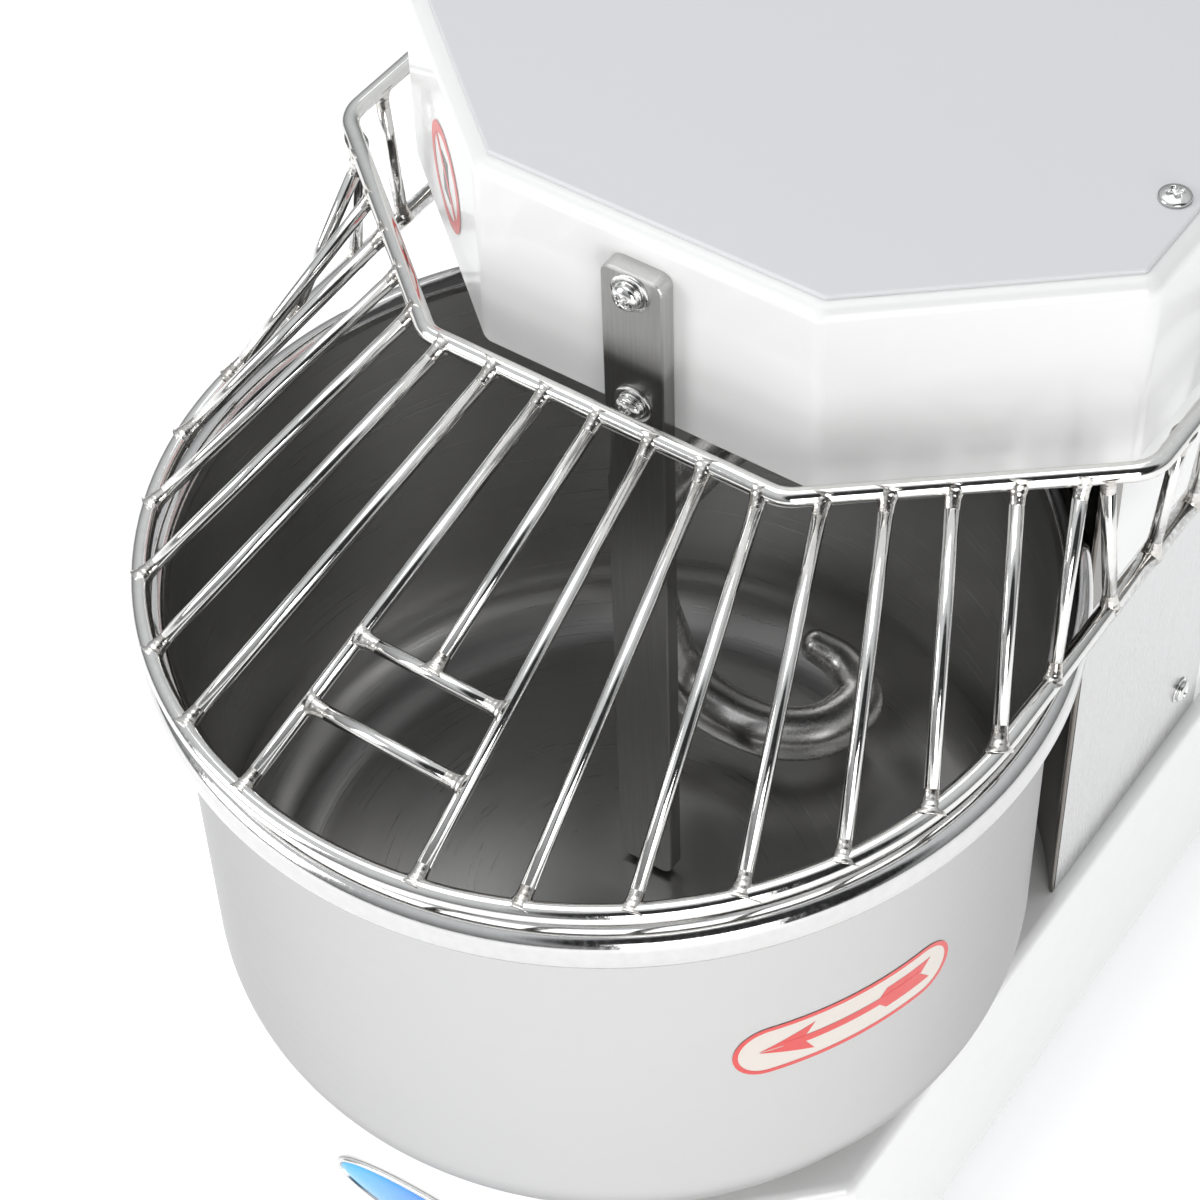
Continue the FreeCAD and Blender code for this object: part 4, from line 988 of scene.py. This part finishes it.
def build_badge():
    """Blank oval badge: a domed enamel face in a bright rim."""
    low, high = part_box("badge_plate")
    centre = (low + high) / 2
    half_x = (high.x - low.x) / 2
    half_z = (high.z - low.z) / 2
    face = high.y

    def oval(profile, name, slot):
        sides = 96
        vertices = []
        for inset, depth in profile:
            for k in range(sides):
                angle = 2 * math.pi * k / sides
                vertices.append(Vector((centre.x + (half_x - inset) * math.cos(angle), face - depth,
                                        centre.z + (half_z - inset) * math.sin(angle))))
        faces = []
        for i in range(len(profile) - 1):
            for k in range(sides):
                j = (k + 1) % sides
                faces.append((i * sides + k, i * sides + j, (i + 1) * sides + j, (i + 1) * sides + k))
        faces.append(tuple(reversed(range(sides))))
        last = (len(profile) - 1) * sides
        faces.append(tuple(range(last, last + sides)))
        return make_object(name, vertices, faces, slot, "frame", origin=centre)

    rim = [(0, 0), (0, 1.2 * MM)]
    for a in range(20, 161, 20):
        rim.append((1.1 * MM - 1.1 * MM * math.cos(math.radians(a)),
                    1.2 * MM + 1.1 * MM * math.sin(math.radians(a))))
    rim.append((2.2 * MM, 0.8 * MM))
    piece = oval(rim, "badge_rim", "zinc_screw")
    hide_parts("badge_plate")
    dome = [(2.2 * MM, 0.4 * MM), (2.3 * MM, 1.3 * MM), (3.2 * MM, 1.8 * MM), (6 * MM, 2.2 * MM),
            (10 * MM, 2.45 * MM), (16 * MM, 2.6 * MM)]
    oval(dome, "badge_enamel_face", "badge_blue")


build_bowl()
build_hook()
build_guard()
build_breaker_bar()
build_screws()
build_turn_label()
build_round_label()
build_badge()


# ---------------------------------------------------------------- floor, light and camera

def build_stage():
    mesh = bpy.data.meshes.new("floor")
    half = 6.0
    corners = [(-half, -half, 0), (half, -half, 0), (half, half, 0), (-half, half, 0)]
    mesh.from_pydata(corners, [], [(0, 1, 2, 3)])
    floor = bpy.data.objects.new("floor", mesh)
    bpy.context.scene.collection.objects.link(floor)
    material = bpy.data.materials.new("floor_white")
    material.use_nodes = True
    shader = material.node_tree.nodes["Principled BSDF"]
    shader.inputs["Base Color"].default_value = (0.93, 0.93, 0.93, 1)
    shader.inputs["Roughness"].default_value = 0.9
    shader.inputs["Emission Color"].default_value = (1, 1, 1, 1)
    shader.inputs["Emission Strength"].default_value = 0.42
    mesh.materials.append(material)


def area_light(name, place, target, size, power):
    light = bpy.data.lights.new(name, "AREA")
    light.shape = "RECTANGLE"
    light.size, light.size_y = size
    light.energy = power
    lamp = bpy.data.objects.new(name, light)
    lamp.location = place
    lamp.rotation_euler = (Vector(target) - Vector(place)).to_track_quat("-Z", "Y").to_euler()
    bpy.context.scene.collection.objects.link(lamp)
    return lamp


def build_lights():
    world = bpy.data.worlds.new("studio")
    bpy.context.scene.world = world
    world.use_nodes = True
    background = world.node_tree.nodes["Background"]
    nodes = world.node_tree.nodes
    links = world.node_tree.links
    split = nodes.new("ShaderNodeSeparateXYZ")
    place = nodes.new("ShaderNodeTexCoord").outputs["Generated"]
    links.new(place, split.inputs[0])
    sky = nodes.new("ShaderNodeValToRGB")
    sky.color_ramp.elements[0].position = 0.05
    sky.color_ramp.elements[0].color = (0.30, 0.305, 0.31, 1)
    sky.color_ramp.elements[1].position = 0.75
    sky.color_ramp.elements[1].color = (0.92, 0.94, 0.96, 1)
    links.new(split.outputs["Z"], sky.inputs["Fac"])
    # The unlit corner of the studio, to the right of the camera and up.
    toward = nodes.new("ShaderNodeVectorMath")
    toward.operation = "DOT_PRODUCT"
    toward.inputs[1].default_value = Vector((0.78, -0.44, 0.62)).normalized()
    links.new(place, toward.inputs[0])
    corner = nodes.new("ShaderNodeValToRGB")
    corner.color_ramp.elements[0].position = 0.76
    corner.color_ramp.elements[0].color = (1, 1, 1, 1)
    corner.color_ramp.elements[1].position = 0.85
    corner.color_ramp.elements[1].color = (0.05, 0.05, 0.05, 1)
    links.new(toward.outputs["Value"], corner.inputs["Fac"])
    both = nodes.new("ShaderNodeMix")
    both.data_type = "RGBA"
    both.blend_type = "MULTIPLY"
    both.inputs[0].default_value = 1.0
    links.new(sky.outputs["Color"], both.inputs[6])
    links.new(corner.outputs["Color"], both.inputs[7])
    links.new(both.outputs[2], background.inputs["Color"])
    background.inputs["Strength"].default_value = 0.8
    area_light("overhead", (-0.3, 0.3, 2.4), (0, 0, 0.3), (1.6, 1.6), 12)
    area_light("left_front", (-1.6, -1.9, 1.3), (0, 0, 0.35), (1.2, 1.6), 24)
    area_light("right_front", (1.9, -1.7, 0.9), (0, 0, 0.3), (1.3, 1.6), 28)


def build_camera():
    place = CAMERA_PLACE
    forward = (CAMERA_TARGET - place).normalized()
    right = forward.cross(Vector((0, 0, 1))).normalized()
    up = right.cross(forward)
    across = right * math.cos(CAMERA_ROLL) + up * math.sin(CAMERA_ROLL)
    above = up * math.cos(CAMERA_ROLL) - right * math.sin(CAMERA_ROLL)
    data = bpy.data.cameras.new("camera")
    data.lens = CAMERA_LENS
    data.sensor_width = 36
    camera = bpy.data.objects.new("camera", data)
    camera.matrix_world = Matrix((
        (across.x, above.x, -forward.x, place.x),
        (across.y, above.y, -forward.y, place.y),
        (across.z, above.z, -forward.z, place.z),
        (0, 0, 0, 1)))
    bpy.context.scene.collection.objects.link(camera)
    bpy.context.scene.camera = camera


build_stage()
build_lights()
build_camera()
bpy.context.scene.view_settings.view_transform = "Standard"
